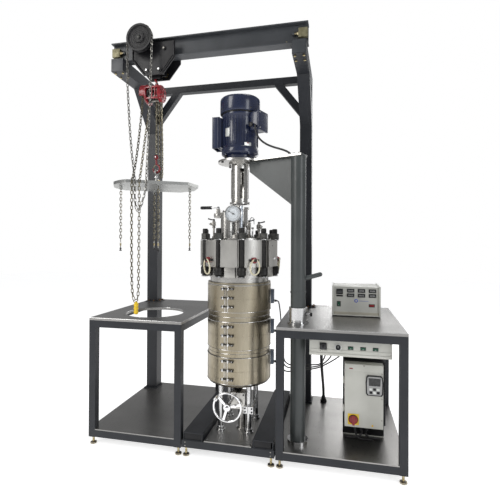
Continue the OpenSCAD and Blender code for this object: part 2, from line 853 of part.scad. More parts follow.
// Both hand chains, hanging over the front edge of the spreader plate, with
// the slack end of the load chain. Each hand chain is one loop.
travel_loop = [
    [travel_x - 101, 190, 3012], [travel_x - 100, 186, 2890], [194, 170, 2700],
    [218, 146, 2500], [248, 116, 2300], [284, 84, 2100], [316, 56, 1970],
    [332, 38, 1924], [337, 30, 1916], [339, 27, 1900], [340, 27, 1850],
    [342, 24, 1790], [351, 22, 1720], [367, 23, 1690], [385, 32, 1718],
    [398, 50, 1790], [406, 64, 1850], [407, 68, 1900], [404, 72, 1916],
    [402, 80, 1926], [398, 92, 1990], [394, 112, 2120], [390, 138, 2320],
    [386, 162, 2560], [385, 180, 2800], [travel_x + 101, 190, 3012]
];
hoist_loop = [
    [276, 260, 2610], [277, 246, 2500], [282, 216, 2380], [289, 176, 2240],
    [297, 130, 2100], [306, 82, 1988], [314, 44, 1930], [320, 26, 1918],
    [322, 18, 1900], [322, 17, 1850], [322, 17, 1700], [322, 18, 1500],
    [323, 20, 1300], [324, 22, 1180], [328, 25, 1100], [338, 31, 1050],
    [350, 38, 1044], [360, 43, 1070], [363, 45, 1140], [364, 45, 1300],
    [365, 45, 1500], [366, 44, 1700], [366, 43, 1850], [366, 44, 1900],
    [363, 52, 1918], [358, 68, 1930], [346, 108, 2000], [332, 160, 2110],
    [316, 220, 2240], [300, 284, 2380], [285, 346, 2510], [276, 380, 2610]
];
slack_loop = [
    [388, 316, 2560], [388, 320, 2440], [387, 328, 2280], [387, 334, 2140],
    [388, 336, 2000], [391, 336, 1976], [398, 336, 1968], [405, 336, 1976],
    [408, 336, 2000], [409, 334, 2140], [409, 328, 2280], [408, 320, 2440],
    [407, 316, 2560]
];

module hand_chains() {
    color("lightgray") placed() {
        swept(travel_loop, 3);
        swept(hoist_loop, 3);
        swept(slack_loop, 3);
        // Marker tag at the bottom of the hoist chain's loop
        rod_z(354, 40, 950, 14, 82);
    }
}

// Red hoist: wheel cover, chain housing, end cover and top hook
module hoist_body() {
    color("firebrick") placed() {
        difference() {
            rod_x(250, line_y, hoist_z, 78, 52);
            rod_x(258, line_y, hoist_z, 68, 36);
            translate([257, line_y - 90, hoist_z - 90]) cube([38, 180, 90]);
            rod_x(240, line_y, hoist_z, 8.05, 63);
        }
        rod_x(302, line_y, hoist_z, 62, 14);
        rod_x(316, line_y, hoist_z, 40, 14);
        rod_x(330, line_y, hoist_z, 26, 60);
        rod_x(390, line_y, hoist_z, 66, 28);
        rod_x(418, line_y, hoist_z, 34, 12);
        translate([302, line_y - 18, hoist_z + 40]) cube([112, 36, 22]);
        // Hook from the hoist's top round the trolley's pin
        translate([hoist_x - 8, line_y - 7, hoist_z + 60]) cube([16, 14, 66]);
        difference() {
            rod_y(hoist_x, line_y - 7, 2764, 23, 14);
            rod_y(hoist_x, line_y - 8, 2764, 9, 16);
        }
    }
}

module hoist_wheel() {
    color("dimgray") placed() {
        rod_x(260.5, line_y, hoist_z, 56, 31);
        rod_x(251, line_y, hoist_z, 8, 50.5);
    }
}

// Load chain from the hoist to the hook, and its slack loop beside it
module load_chain() {
    color("gray") placed() rod_z(hoist_x, line_y, 2150, 5, 444);
}

// Lower hook, with its swivel block
module load_hook() {
    color("firebrick") placed() {
        rod_z(hoist_x, line_y, 2100, 16, 49);
        rod_z(hoist_x, line_y, 2066, 9, 36);
        translate([hoist_x, line_y, 2036]) rotate([90, 0, 0]) translate([0, 0, -5]) difference() {
            cylinder(h = 10, r = 36);
            translate([0, 0, -1]) cylinder(h = 12, r = 20);
            translate([-48, 0, -1]) cube([32, 20, 12]);
        }
    }
}

// Long plate with one rounded end, an eye on top and four eyes below
module plate_outline() {
    intersection() {
        polygon([[-plate_l / 2, -plate_w / 2], [plate_l / 2 - 100, -plate_w / 2],
            [plate_l / 2, -plate_w / 2 + 135], [plate_l / 2, plate_w / 2 - 135],
            [plate_l / 2 - 100, plate_w / 2], [-plate_l / 2, plate_w / 2]]);
        union() {
            circle(r = 325, $fn = 96);
            translate([0, -300]) square([400, 600]);
        }
    }
}

module at_plate() {
    translate([hoist_x, line_y, 0]) rotate([0, 0, plate_a]) children();
}

module spreader_plate() {
    color("gainsboro") placed() at_plate() {
        translate([0, 0, plate_z - plate_t]) linear_extrude(height = plate_t) plate_outline();
        translate([0, 0, plate_z]) cylinder(h = 8, r = 30);
        translate([0, 0, plate_z + 8]) cylinder(h = 72, r = 11);
        translate([0, 0, 2006]) rotate([0, 90, -plate_a]) rotate_extrude()
            translate([20, 0]) circle(r = 7);
        for (p = chain_pts) translate([p[0], p[1], plate_z - plate_t]) {
            translate([0, 0, -6]) cylinder(h = 6, r = 12);
            translate([0, 0, -15]) rotate([90, 0, 0]) rotate_extrude()
                translate([9, 0]) circle(r = 3);
        }
    }
}

// Four lifting chains, each with a quick link and a bolt at its end
module lifting_chains() {
    color("darkkhaki") placed() at_plate()
        for (p = chain_pts) translate([p[0], p[1], 0]) {
            translate([0, 0, chain_bottom + 64]) cylinder(h = chain_top - chain_bottom - 78, r = 3);
            translate([-2.5, -9, chain_bottom + 20]) cube([5, 18, 46]);
            translate([0, 0, chain_bottom]) cylinder(h = 22, r = 5);
            translate([0, 0, chain_bottom]) cylinder(h = 7, r = 9);
        }
}

// ---------- electrical boxes ----------

rocker_xs = [1836, 1913, 1988];
rocker_z = 792;
knob_x = 1759;
// Bore for a rocker's pivot pin
pivot_r = 1.5;

module power_panel() {
    p = panel;
    color("beige") placed() difference() {
        translate(p) cube(panel_size);
        translate([p[0] + 2, p[1] + 2, p[2] + 2])
            cube([panel_size[0] - 4, panel_size[1] - 4, panel_size[2] - 4]);
        for (x = rocker_xs) translate([x - 14, p[1] - 1, rocker_z - 8.5]) cube([28, 6, 17]);
        rod_y(knob_x, p[1] - 1, rocker_z, 4.05, 6);
    }
}

module panel_rocker(i) {
    color("limegreen") placed() translate([rocker_xs[i], panel[1], rocker_z]) difference() {
        translate([-13.6, -4, -7.6]) cube([27.2, 8, 15.2]);
        rod_x(-14, 0, 0, pivot_r, 28);
    }
}

module panel_rocker_1() { panel_rocker(0); }
module panel_rocker_2() { panel_rocker(1); }
module panel_rocker_3() { panel_rocker(2); }

module speed_knob() {
    color("black") placed() {
        rod_y(knob_x, panel[1] - 16.4, rocker_z, 15, 16);
        rod_y(knob_x, panel[1] - 1, rocker_z, 4, 9);
    }
}

// Instrument case on four feet, with windows in its front
module controller_case() {
    c = ctrl;
    s = ctrl_size;
    color("ivory") placed() {
        difference() {
            translate(c) cube(s);
            translate([c[0] + 2.5, c[1] + 2.5, c[2] + 2.5]) cube([s[0] - 5, s[1] - 5, s[2] - 5]);
            translate([c[0] + 268, c[1] - 1, c[2] + 67]) cube([34, 6, 14]);
            translate([c[0] + 38, c[1] - 1, c[2] + 66]) cube([20, 6, 30]);
        }
        for (x = [c[0] + 26, c[0] + s[0] - 26], y = [c[1] + 26, c[1] + s[1] - 26])
            rod_z(x, y, top_h, 11, 12);
    }
}

module controller_rocker() {
    color("limegreen") placed() translate([ctrl[0] + 38.4, ctrl[1] + 1, ctrl[2] + 81]) difference() {
        translate([0, -4, -14.6]) cube([19.2, 8, 29.2]);
        rod_x(-1, 0, 0, pivot_r, 22);
    }
}

module controller_button() {
    color("red") placed() translate([ctrl[0] + 268.4, ctrl[1] - 5, ctrl[2] + 67.4])
        cube([33.2, 11, 13.2]);
}

// Deep steel cabinet on a mounting plate that stands on the shelf
module cabinet_box() {
    c = cab;
    s = cab_size;
    color("ivory") placed() {
        difference() {
            translate([c[0], c[1] + door_t, c[2]]) cube([s[0], s[1] - door_t, s[2]]);
            translate([c[0] + cab_wall, c[1] + door_t - 1, c[2] + cab_wall])
                cube([s[0] - 2 * cab_wall, s[1] - door_t - cab_wall + 1, s[2] - 2 * cab_wall]);
        }
        translate([c[0] - 10, c[1] + s[1], shelf_h]) cube([s[0] + 30, 6, 640]);
        translate([c[0] - 10, c[1] + s[1] + 6, shelf_h]) cube([s[0] + 30, 60, 6]);
        for (x = [70, 110, 150]) rod_z(c[0] + x, c[1] + 90, c[2] - 26, 11, 26);
        for (z = [96, s[2] - 136]) {
            rod_z(c[0] - 7, c[1] + door_t - 7, c[2] + z, 4, 40);
            for (dz = [0, 32]) translate([c[0] - 11, c[1] + door_t - 8, c[2] + z + dz])
                cube([11, 13, 8]);
        }
    }
}

// Door with a keypad; it turns on pins at its left edge
module cabinet_door() {
    c = cab;
    s = cab_size;
    color("ivory") placed() {
        difference() {
            translate([c[0] + 0.5, c[1], c[2] + 0.5]) cube([s[0] - 1, door_t - 0.5, s[2] - 1]);
            translate([c[0] + 4, c[1] + 3, c[2] + 4]) cube([s[0] - 8, door_t, s[2] - 8]);
            rod_y(c[0] + 56, c[1] - 1, c[2] + 52, 6.05, 8);
        }
        translate([c[0] + 138, c[1] - 8, c[2] + 220]) cube([104, 8, 128]);
        for (z = [107, s[2] - 125]) {
            ring_z(c[0] - 7, c[1] + door_t - 7, c[2] + z, 7, 4.05, 18);
            translate([c[0] - 3, c[1] + door_t - 11, c[2] + z]) cube([6, 6, 18]);
        }
    }
}

module disconnect_switch() {
    color("darkred") placed() {
        rod_y(cab[0] + 56, cab[1] - 14.5, cab[2] + 52, 26, 14);
        translate([cab[0] + 49, cab[1] - 30, cab[2] + 22]) cube([14, 16, 60]);
        rod_y(cab[0] + 56, cab[1] - 1, cab[2] + 52, 6, 10);
    }
}

// ---------- cables ----------

cable_a = [
    [1323, 339.6, 590], [1333, 341, 583], [1350, 345, 552], [1376, 353, 524],
    [1408, 368, 515], [1450, 385, 520], [1500, 392, 526], [1560, 384, 538],
    [1620, 364, 560], [1680, 334, 600], [1735, 300, 645], [1780, 264, 690],
    [1806, 240, 718], [1815, 225, 737]
];
cable_b = [
    [1323, 339.6, 815], [1333, 342, 806], [1342, 350, 760], [1348, 360, 690],
    [1356, 368, 600], [1382, 380, 548], [1425, 396, 534], [1490, 412, 530],
    [1560, 398, 548], [1620, 358, 574], [1670, 322, 614], [1705, 292, 660],
    [1722, 268, 702], [1730, 250, 737]
];
cable_c = [
    [1323, 339.6, 1035], [1333, 343, 1022], [1341, 356, 960], [1348, 372, 850],
    [1358, 382, 700], [1368, 390, 596], [1396, 402, 560], [1440, 416, 548],
    [1510, 424, 552], [1570, 400, 566], [1632, 344, 594], [1662, 300, 646],
    [1676, 266, 700], [1680, 245, 737]
];
conduit = [
    [1645, 258, 738], [1645, 262, 716], [1644, 300, 668], [1642, 380, 600],
    [1641, 480, 520], [1640, 590, 440], [1640, 700, 362], [1640, 790, 290],
    [1640, 850, 230], [1640, 880, 180], [1640, 890, 130]
];
motor_run = [
    [1178, 206, 2300], [1182, 184, 2286], [1186, 174, 2262], [1194, 170, 2232],
    [1210, 172, 2200], [1236, 176, 2172], [1272, 178, 2148], [1312, 178, 2130],
    [1352, 176, 2116], [1390, 172, 2102], [1420, 168, 2086], [1436, 166, 2072]
];

module power_cables() {
    color("dimgray") placed() {
        swept(smooth(cable_a, 3), 4.5);
        swept(smooth(cable_b, 3), 4.5);
        swept(smooth(cable_c, 3), 4.5);
        swept(smooth(conduit, 3), 11);
        rod_z(1640, 890, shelf_h, 17, 18);
    }
}

module motor_cable() {
    color("black") placed() swept(smooth(motor_run, 3), 7);
}

// ---------- output ----------

left_table_frame();
right_table_frame();
table_tops();
shelves();
base_frame();
levelling_feet();
gantry_frame();
trolley_beam();
bearing_collars();
jack_housing();
power_panel();
controller_case();
cabinet_box();
power_cables();
trolley_frame();
left_wheels();
right_wheels();
travel_wheel();
hand_chains();
hoist_body();
hoist_wheel();
load_chain();
load_hook();
spreader_plate();
lifting_chains();
lift_posts();
jack_screw();
handwheel();
vessel();
heater_bands();
heater_fittings();
clamp_ring();
clamp_studs();
vessel_head();
valve_bodies();
gauge_case();
gauge_pointer();
main_valve_lever();
left_valve_lever();
front_valve_lever();
right_valve_lever();
drain_lever();
lifting_ring_1();
lifting_ring_2();
lifting_ring_3();
lifting_ring_4();
stirrer();
swing_post();
motor();
guard_tube();
drive_shaft();
motor_cable();
cabinet_door();
disconnect_switch();
speed_knob();
panel_rocker_1();
panel_rocker_2();
panel_rocker_3();
controller_rocker();
controller_button();
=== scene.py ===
"""Looks of the floor-stand stirred reactor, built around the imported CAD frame.

Lengths are given in millimetres in the working frame (x right from the left
table's outer side, y back from the table fronts, z up) and turned into metres.
"""
import json
import math

import bmesh
import bpy
from mathutils import Matrix, Vector


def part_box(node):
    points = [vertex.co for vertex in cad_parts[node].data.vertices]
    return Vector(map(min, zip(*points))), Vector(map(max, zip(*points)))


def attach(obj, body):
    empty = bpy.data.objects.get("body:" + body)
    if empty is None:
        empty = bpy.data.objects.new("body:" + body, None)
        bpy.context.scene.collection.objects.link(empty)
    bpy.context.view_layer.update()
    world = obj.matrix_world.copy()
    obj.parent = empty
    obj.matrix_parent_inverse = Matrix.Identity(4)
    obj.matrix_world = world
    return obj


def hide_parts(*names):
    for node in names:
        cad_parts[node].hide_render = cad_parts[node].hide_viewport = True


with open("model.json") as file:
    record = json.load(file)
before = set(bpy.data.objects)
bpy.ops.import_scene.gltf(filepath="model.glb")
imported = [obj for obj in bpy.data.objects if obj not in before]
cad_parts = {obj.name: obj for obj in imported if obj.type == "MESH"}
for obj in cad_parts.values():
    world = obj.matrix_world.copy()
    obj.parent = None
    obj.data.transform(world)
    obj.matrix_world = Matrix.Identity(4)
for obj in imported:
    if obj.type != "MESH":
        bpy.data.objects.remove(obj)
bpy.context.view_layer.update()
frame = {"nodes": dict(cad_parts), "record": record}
nodes = frame["nodes"]
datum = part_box("table_tops")[0]
MM = 0.001
AXIS_X, LINE_Y, HOIST_X = 1040, 320, 364
SWING_X, SWING_Y, ARM_Z = 1492, 162, 2050
BLOCK_A0 = -91
STUD_A0 = -73


def place(p):
    """Working millimetres to metres in the row frame."""
    return Vector((datum.x + p[0] * MM, datum.y + p[1] * MM, p[2] * MM))


# ---------- camera, light and floor ----------

scene = bpy.context.scene
scene.view_settings.view_transform = "Standard"
camera_data = bpy.data.cameras.new("camera")
camera_data.lens = 28.517
camera_data.sensor_width = 36
camera_data.shift_x = 0.00474
camera_data.shift_y = -0.0178
camera = bpy.data.objects.new("camera", camera_data)
scene.collection.objects.link(camera)
right = Vector((0.97495375, 0.22236118, 0.00454784))
up = Vector((-0.00319154, -0.00645852, 0.99997405))
back = right.cross(up)
eye = place((1755.66, -2548.49, 1456.61))
camera.matrix_world = Matrix((
    (right.x, up.x, back.x, eye.x),
    (right.y, up.y, back.y, eye.y),
    (right.z, up.z, back.z, eye.z),
    (0, 0, 0, 1),
))
scene.camera = camera


def area_light(name, at, aim, size, size_y, power, tint=(1, 1, 1)):
    data = bpy.data.lights.new(name, "AREA")
    data.shape = "RECTANGLE"
    data.size, data.size_y = size, size_y
    data.energy = power
    data.color = tint
    light = bpy.data.objects.new(name, data)
    light.location = at
    light.rotation_euler = (Vector(aim) - Vector(at)).to_track_quat("-Z", "Y").to_euler()
    scene.collection.objects.link(light)


area_light("key", (-3.2, -3.6, 3.6), (0, 0, 1.2), 1.6, 3.4, 105, (1, 0.985, 0.96))
area_light("fill", (3.9, -2.9, 2.6), (0.2, 0, 1.2), 1.2, 3.0, 52, (0.95, 0.975, 1))
area_light("top", (0.2, 0.4, 4.9), (0, 0.1, 0), 3.2, 1.4, 66)
area_light("rear", (1.6, 3.6, 3.0), (0.3, 0.2, 1.0), 2.2, 2.2, 30)
area_light("low_rear", (0.70, 4.4, 1.72), (0.7, 0, 0.9), 0.8, 0.7, 6)


def new_node(tree, kind, **values):
    """Adds a shader node; an underscore in a value's name stands for a space in the socket's."""
    made = tree.nodes.new("ShaderNode" + kind)
    for socket, value in values.items():
        made.inputs[socket.replace("_", " ")].default_value = value
    return made


def set_ramp(ramp, *stops):
    for element, (position, colour) in zip(ramp.color_ramp.elements, stops):
        element.position = position
        element.color = (*colour, 1)


# The background is plain white to the camera, and a dim vertical gradient to everything else
world = bpy.data.worlds.new("studio")
scene.world = world
world.use_nodes = True
tree = world.node_tree
tree.nodes.clear()
sky = new_node(tree, "TexCoord")
split = new_node(tree, "SeparateXYZ")
ramp = new_node(tree, "ValToRGB")
set_ramp(ramp, (0.30, (0.62, 0.62, 0.63)), (0.62, (0.98, 0.985, 1)))
shift = new_node(tree, "Math")
shift.operation = "MULTIPLY_ADD"
shift.inputs[1].default_value = 0.5
shift.inputs[2].default_value = 0.5
dim = new_node(tree, "Background", Strength=0.36)
plain = new_node(tree, "Background", Color=(1, 1, 1, 1))
path_kind = new_node(tree, "LightPath")
blend = new_node(tree, "MixShader")
out = new_node(tree, "OutputWorld")
for source, target in (
        (sky.outputs["Generated"], split.inputs[0]), (split.outputs["Z"], shift.inputs[0]),
        (shift.outputs[0], ramp.inputs[0]), (ramp.outputs[0], dim.inputs["Color"]),
        (path_kind.outputs["Is Camera Ray"], blend.inputs[0]), (dim.outputs[0], blend.inputs[1]),
        (plain.outputs[0], blend.inputs[2]), (blend.outputs[0], out.inputs[0])):
    tree.links.new(source, target)


# ---------- materials ----------

def material(name, base, other, metal, rough, grain, fine, bump, contrast=(0.35, 0.65), coat=0.0, ior=1.5):
    """A principled surface: colour drifts with a coarse noise, and gloss and relief with a fine one."""
    made = bpy.data.materials.new(name)
    made.use_nodes = True
    tree = made.node_tree
    link = tree.links.new
    shader = tree.nodes["Principled BSDF"]
    for socket, value in (("Metallic", metal), ("IOR", ior), ("Coat Weight", coat)):
        shader.inputs[socket].default_value = value
    coord = new_node(tree, "TexCoord")

    def noise(scale, octaves):
        mapping = new_node(tree, "Mapping", Scale=scale)
        texture = new_node(tree, "TexNoise", Scale=1, Detail=octaves)
        link(coord.outputs["Object"], mapping.inputs["Vector"])
        link(mapping.outputs[0], texture.inputs["Vector"])
        return texture.outputs["Fac"]

    coarse, small = noise(grain, 5), noise(fine, 3)
    tones = new_node(tree, "ValToRGB")
    set_ramp(tones, (contrast[0], base), (contrast[1], other))
    link(coarse, tones.inputs[0])
    link(tones.outputs[0], shader.inputs["Base Color"])
    gloss = new_node(tree, "MapRange", From_Min=0.3, From_Max=0.7, To_Min=rough[0], To_Max=rough[1])
    link(small, gloss.inputs["Value"])
    link(gloss.outputs[0], shader.inputs["Roughness"])
    relief = new_node(tree, "Bump", Strength=bump, Distance=0.0004)
    link(small, relief.inputs["Height"])
    link(relief.outputs[0], shader.inputs["Normal"])
    return made


# Each finish: two base colours, metal, gloss from and to, coarse grain, fine grain, relief, then
# any further settings. A single number for a grain is used on all three axes.
FINISHES = {
    "frame_paint": ((0.015, 0.017, 0.021), (0.021, 0.023, 0.028), 0.0, (0.34, 0.46),
        6, 420, 0.12, {"ior": 1.4}),
    "beam_paint": ((0.036, 0.04, 0.045), (0.052, 0.056, 0.062), 0.0, (0.36, 0.52), 6, 260, 0.15),
    "post_paint": ((0.044, 0.05, 0.05), (0.054, 0.061, 0.061), 0.0, (0.3, 0.42), 6, 420, 0.1),
    "stainless_sheet": ((0.27, 0.266, 0.258), (0.36, 0.352, 0.342), 1.0, (0.26, 0.44),
        (1.6, 2.4, 3), (700, 9, 700), 0.1),
    "zinc_steel": ((0.46, 0.36, 0.17), (0.62, 0.55, 0.36), 1.0, (0.25, 0.45), 60, 500, 0.1),
    "bright_steel": ((0.55, 0.55, 0.55), (0.66, 0.66, 0.66), 1.0, (0.12, 0.24),
        (20, 20, 6), (90, 90, 900), 0.06),
    "machined_steel": ((0.4, 0.39, 0.375), (0.54, 0.53, 0.505), 1.0, (0.2, 0.36),
        (9, 9, 3), (60, 60, 1300), 0.1),
    "ring_steel": ((0.42, 0.412, 0.39), (0.53, 0.52, 0.49), 1.0, (0.3, 0.44),
        (12, 12, 5), (70, 70, 900), 0.12),
    "cream_case": ((0.48, 0.48, 0.44), (0.53, 0.53, 0.49), 0.0, (0.38, 0.52), 6, 900, 0.12),
    "black_cable": ((0.012, 0.012, 0.013), (0.022, 0.022, 0.024), 0.0, (0.4, 0.55), 6, 700, 0.15),
    "black_paint": ((0.006, 0.006, 0.007), (0.013, 0.013, 0.015), 0.0, (0.3, 0.46),
        6, 300, 0.15, {"ior": 1.36}),
    "wheel_steel": ((0.06, 0.055, 0.05), (0.16, 0.15, 0.14), 0.9, (0.35, 0.6), 40, 500, 0.2),
    "chain_steel": ((0.2, 0.195, 0.18), (0.44, 0.43, 0.4), 1.0, (0.2, 0.4), 45, 600, 0.12),
    "brass_chain": ((0.12, 0.105, 0.07), (0.3, 0.275, 0.205), 1.0, (0.26, 0.46), 30, 600, 0.12),
    "red_paint": ((0.2, 0.006, 0.012), (0.29, 0.01, 0.018), 0.0, (0.22, 0.38), 6, 260, 0.12, {"coat": 0.3}),
    "plate_aluminium": ((0.38, 0.385, 0.375), (0.46, 0.465, 0.45), 1.0, (0.3, 0.48),
        5, (16, 700, 700), 0.12),
    "dark_steel": ((0.26, 0.25, 0.23), (0.42, 0.4, 0.37), 1.0, (0.26, 0.46), 50, 500, 0.15),
    "chrome": ((0.8, 0.8, 0.81), (0.88, 0.88, 0.88), 1.0, (0.06, 0.14), 25, 300, 0.04),
    "heater_steel": ((0.25, 0.212, 0.145), (0.4, 0.36, 0.28), 1.0, (0.24, 0.4),
        (7, 7, 1.4), (240, 240, 12), 0.1, {"contrast": (0.3, 0.7)}),
    "black_oxide": ((0.008, 0.008, 0.008), (0.02, 0.019, 0.018), 0.3, (0.34, 0.55), 60, 600, 0.2),
    "nut_grey": ((0.05, 0.05, 0.048), (0.095, 0.094, 0.088), 0.6, (0.34, 0.52), 60, 500, 0.2),
    "gauge_steel": ((0.66, 0.66, 0.65), (0.78, 0.78, 0.77), 1.0, (0.12, 0.22), 30, 400, 0.05),
    "dial_white": ((0.66, 0.7, 0.74), (0.72, 0.76, 0.79), 0.0, (0.22, 0.3), 6, 200, 0.02, {"coat": 0.4}),
    "pointer_black": ((0.01, 0.01, 0.01), (0.02, 0.02, 0.02), 0.0, (0.4, 0.5), 6, 500, 0.05),
    "black_plastic": ((0.007, 0.007, 0.008), (0.014, 0.014, 0.016), 0.0, (0.42, 0.6),
        6, 800, 0.25, {"ior": 1.36}),
    "ring_cream": ((0.58, 0.53, 0.37), (0.7, 0.66, 0.5), 0.0, (0.34, 0.5), 40, 500, 0.12),
    "motor_blue": ((0.006, 0.011, 0.036), (0.01, 0.017, 0.05), 0.0, (0.2, 0.34),
        6, 300, 0.14, {"coat": 0.3}),
    "red_plastic": ((0.2, 0.01, 0.014), (0.28, 0.014, 0.018), 0.0, (0.28, 0.4), 6, 500, 0.1),
    "green_rocker": ((0.004, 0.055, 0.028), (0.006, 0.085, 0.042), 0.0, (0.2, 0.3), 6, 400, 0.05),
    "yellow": ((0.72, 0.46, 0.01), (0.8, 0.56, 0.02), 0.0, (0.35, 0.5), 6, 500, 0.1),
    "slate_box": ((0.08, 0.1, 0.135), (0.11, 0.135, 0.17), 0.3, (0.3, 0.45), 20, 500, 0.1),
    "blank_plate": ((0.6, 0.62, 0.6), (0.72, 0.73, 0.71), 0.6, (0.3, 0.4), 50, (40, 900, 900), 0.1),
    "display": ((0.01, 0.011, 0.012), (0.03, 0.032, 0.034), 0.0, (0.12, 0.22), 60, 200, 0.03),
    "tan_strip": ((0.36, 0.34, 0.28), (0.42, 0.4, 0.33), 0.0, (0.4, 0.55), 6, 700, 0.1),
    "badge_blue": ((0.01, 0.05, 0.42), (0.014, 0.07, 0.5), 0.0, (0.3, 0.4), 6, 600, 0.05),
    "keypad_grey": ((0.33, 0.33, 0.33), (0.39, 0.39, 0.39), 0.0, (0.4, 0.55), 6, 700, 0.12),
    "copper_brown": ((0.1, 0.055, 0.03), (0.22, 0.13, 0.07), 0.9, (0.35, 0.55), 60, 500, 0.15),
    "olive_block": ((0.17, 0.155, 0.09), (0.26, 0.24, 0.15), 0.5, (0.4, 0.6), 40, 400, 0.2),
    "tube_blue": ((0.5, 0.54, 0.6), (0.62, 0.66, 0.72), 1.0, (0.1, 0.18), 20, 300, 0.05),
    "floor": ((0.86, 0.86, 0.86), (0.88, 0.88, 0.88), 0.0, (0.55, 0.65), 6, 30, 0.02),
}


def per_axis(scale):
    return scale if isinstance(scale, tuple) else (scale,) * 3


M = {}
for name, (base, other, metal, rough, grain, fine, bump, *further) in FINISHES.items():
    M[name] = material(name, base, other, metal, rough, per_axis(grain), per_axis(fine), bump,
                       **(further[0] if further else {}))

slot_of = {part["node"]: part["material_slot"] for part in frame["record"]["subparts"]}
for name, obj in nodes.items():
    finish = M[slot_of[name]]
    if not obj.data.materials:
        obj.data.materials.append(finish)
    for index in range(len(obj.data.materials)):
        obj.data.materials[index] = finish


# ---------- mesh builder ----------

UP, DOWN, FRONT, REAR = (0, 0, 1), (0, 0, -1), (0, -1, 0), (0, 1, 0)
RIGHT, LEFT = (1, 0, 0), (-1, 0, 0)


class Piece:
    """Collects shapes in working millimetres, then becomes one object on a body."""

    def __init__(self, name, finish):
        self.name, self.default = name, finish
        self.verts, self.faces, self.slots = [], [], []
        self.finishes = []
        self.m = Matrix.Identity(4)

    def move(self, m=None):
        self.m = Matrix.Identity(4) if m is None else m
        return self

    def add(self, verts, faces, finish=None):
        finish = finish or self.default
        if finish not in self.finishes:
            self.finishes.append(finish)
        start = len(self.verts)
        self.verts += [self.m @ Vector(v) for v in verts]
        self.faces += [tuple(start + i for i in f) for f in faces]
        self.slots += [self.finishes.index(finish)] * len(faces)

    def box(self, lo, hi, bevel=0.0, finish=None):
        """A block whose upright and level edges are rounded by a small chamfer."""
        bm = bmesh.new()
        bmesh.ops.create_cube(bm, size=1)
        size = [hi[i] - lo[i] for i in range(3)]
        for v in bm.verts:
            v.co = Vector([lo[i] + (v.co[i] + 0.5) * size[i] for i in range(3)])
        if bevel:
            bevel = min(bevel, 0.45 * min(abs(s) for s in size))
            bmesh.ops.bevel(bm, geom=bm.edges[:], offset=bevel, segments=2, profile=0.6, affect="EDGES")
        self.take(bm, finish)

    def take(self, bm, finish=None):
        bm.verts.index_update()
        self.add([v.co for v in bm.verts], [[v.index for v in f.verts] for f in bm.faces], finish)
        bm.free()

    def lathe(self, at, axis, profile, seg=32, finish=None, turn=0.0):
        """Revolves (radius, height) points about an axis through at; zero radii close the ends."""
        basis = Vector(axis).to_track_quat("Z", "Y").to_matrix().to_4x4()
        local = Matrix.Translation(Vector(at)) @ basis @ Matrix.Rotation(turn, 4, "Z")
        verts, rings, faces = [], [], []
        for r, h in profile:
            if r < 1e-6:
                rings.append([len(verts)])
                verts.append(local @ Vector((0, 0, h)))
            else:
                rings.append(list(range(len(verts), len(verts) + seg)))
                for k in range(seg):
                    a = 2 * math.pi * k / seg
                    verts.append(local @ Vector((r * math.cos(a), r * math.sin(a), h)))
        for a, b in zip(rings, rings[1:]):
            for k in range(seg):
                k2 = (k + 1) % seg
                if len(a) == 1 and len(b) == 1:
                    continue
                if len(a) == 1:
                    faces.append((a[0], b[k2], b[k]))
                elif len(b) == 1:
                    faces.append((a[k], a[k2], b[0]))
                else:
                    faces.append((a[k], a[k2], b[k2], b[k]))
        self.add(verts, faces, finish)

    def rod(self, at, axis, r, h, edge=1.0, seg=28, finish=None):
        e = min(edge, 0.4 * r, 0.4 * h)
        self.lathe(at, axis, [(0, 0), (r - e, 0), (r - 0.3 * e, 0.3 * e), (r, e), (r, h - e),
                              (r - 0.3 * e, h - 0.3 * e), (r - e, h), (0, h)], seg, finish)

    def hexagon(self, at, axis, r, h, finish=None, turn=0.0, bore=0.0):
        c = 0.12 * r
        inner = [(bore, 0)] if bore else [(0, 0)]
        outer = [(bore, h), (bore, 0)] if bore else [(0, h)]
        self.lathe(at, axis, inner + [(r - c, 0), (r, 0.6 * c), (r, h - 0.6 * c), (r - c, h)]
                   + outer, 6, finish, turn)

    def ring(self, at, axis, ro, ri, h, edge=0.8, seg=40, finish=None):
        e = min(edge, 0.3 * h, 0.3 * (ro - ri))
        self.lathe(at, axis, [(ri, 0), (ro - e, 0), (ro, e), (ro, h - e), (ro - e, h), (ri, h),
                              (ri, 0)], seg, finish)

    def torus(self, at, axis, big, small, seg=40, sides=12, finish=None):
        profile = [(big + small * math.cos(2 * math.pi * k / sides),
                    small * math.sin(2 * math.pi * k / sides)) for k in range(sides + 1)]
        self.lathe(at, axis, profile, seg, finish)

    def tube(self, points, r, sides=10, closed=False, finish=None):
        """A round tube through points; r is one radius or one for each point."""
        p = [Vector(q) for q in points]
        count = len(p)
        radii = r if isinstance(r, (list, tuple)) else [r] * count
        verts, faces, normal = [], [], None
        for i in range(count):
            before = p[(i - 1) % count] if closed else p[max(i - 1, 0)]
            after = p[(i + 1) % count] if closed else p[min(i + 1, count - 1)]
            t = (after - before).normalized()
            if normal is None:
                pick = Vector((0, 1, 0)) if abs(t.z) > 0.9 else Vector((0, 0, 1))
                normal = t.cross(pick).normalized()
            normal = (normal - t * normal.dot(t)).normalized()
            side = t.cross(normal)
            for k in range(sides):
                a = 2 * math.pi * k / sides
                verts.append(p[i] + radii[i] * (normal * math.cos(a) + side * math.sin(a)))
        last = count if closed else count - 1
        for i in range(last):
            j = (i + 1) % count
            for k in range(sides):
                k2 = (k + 1) % sides
                faces.append((i * sides + k, i * sides + k2, j * sides + k2, j * sides + k))
        if not closed:
            faces.append(tuple(range(sides - 1, -1, -1)))
            faces.append(tuple((count - 1) * sides + k for k in range(sides)))
        self.add(verts, faces, finish)

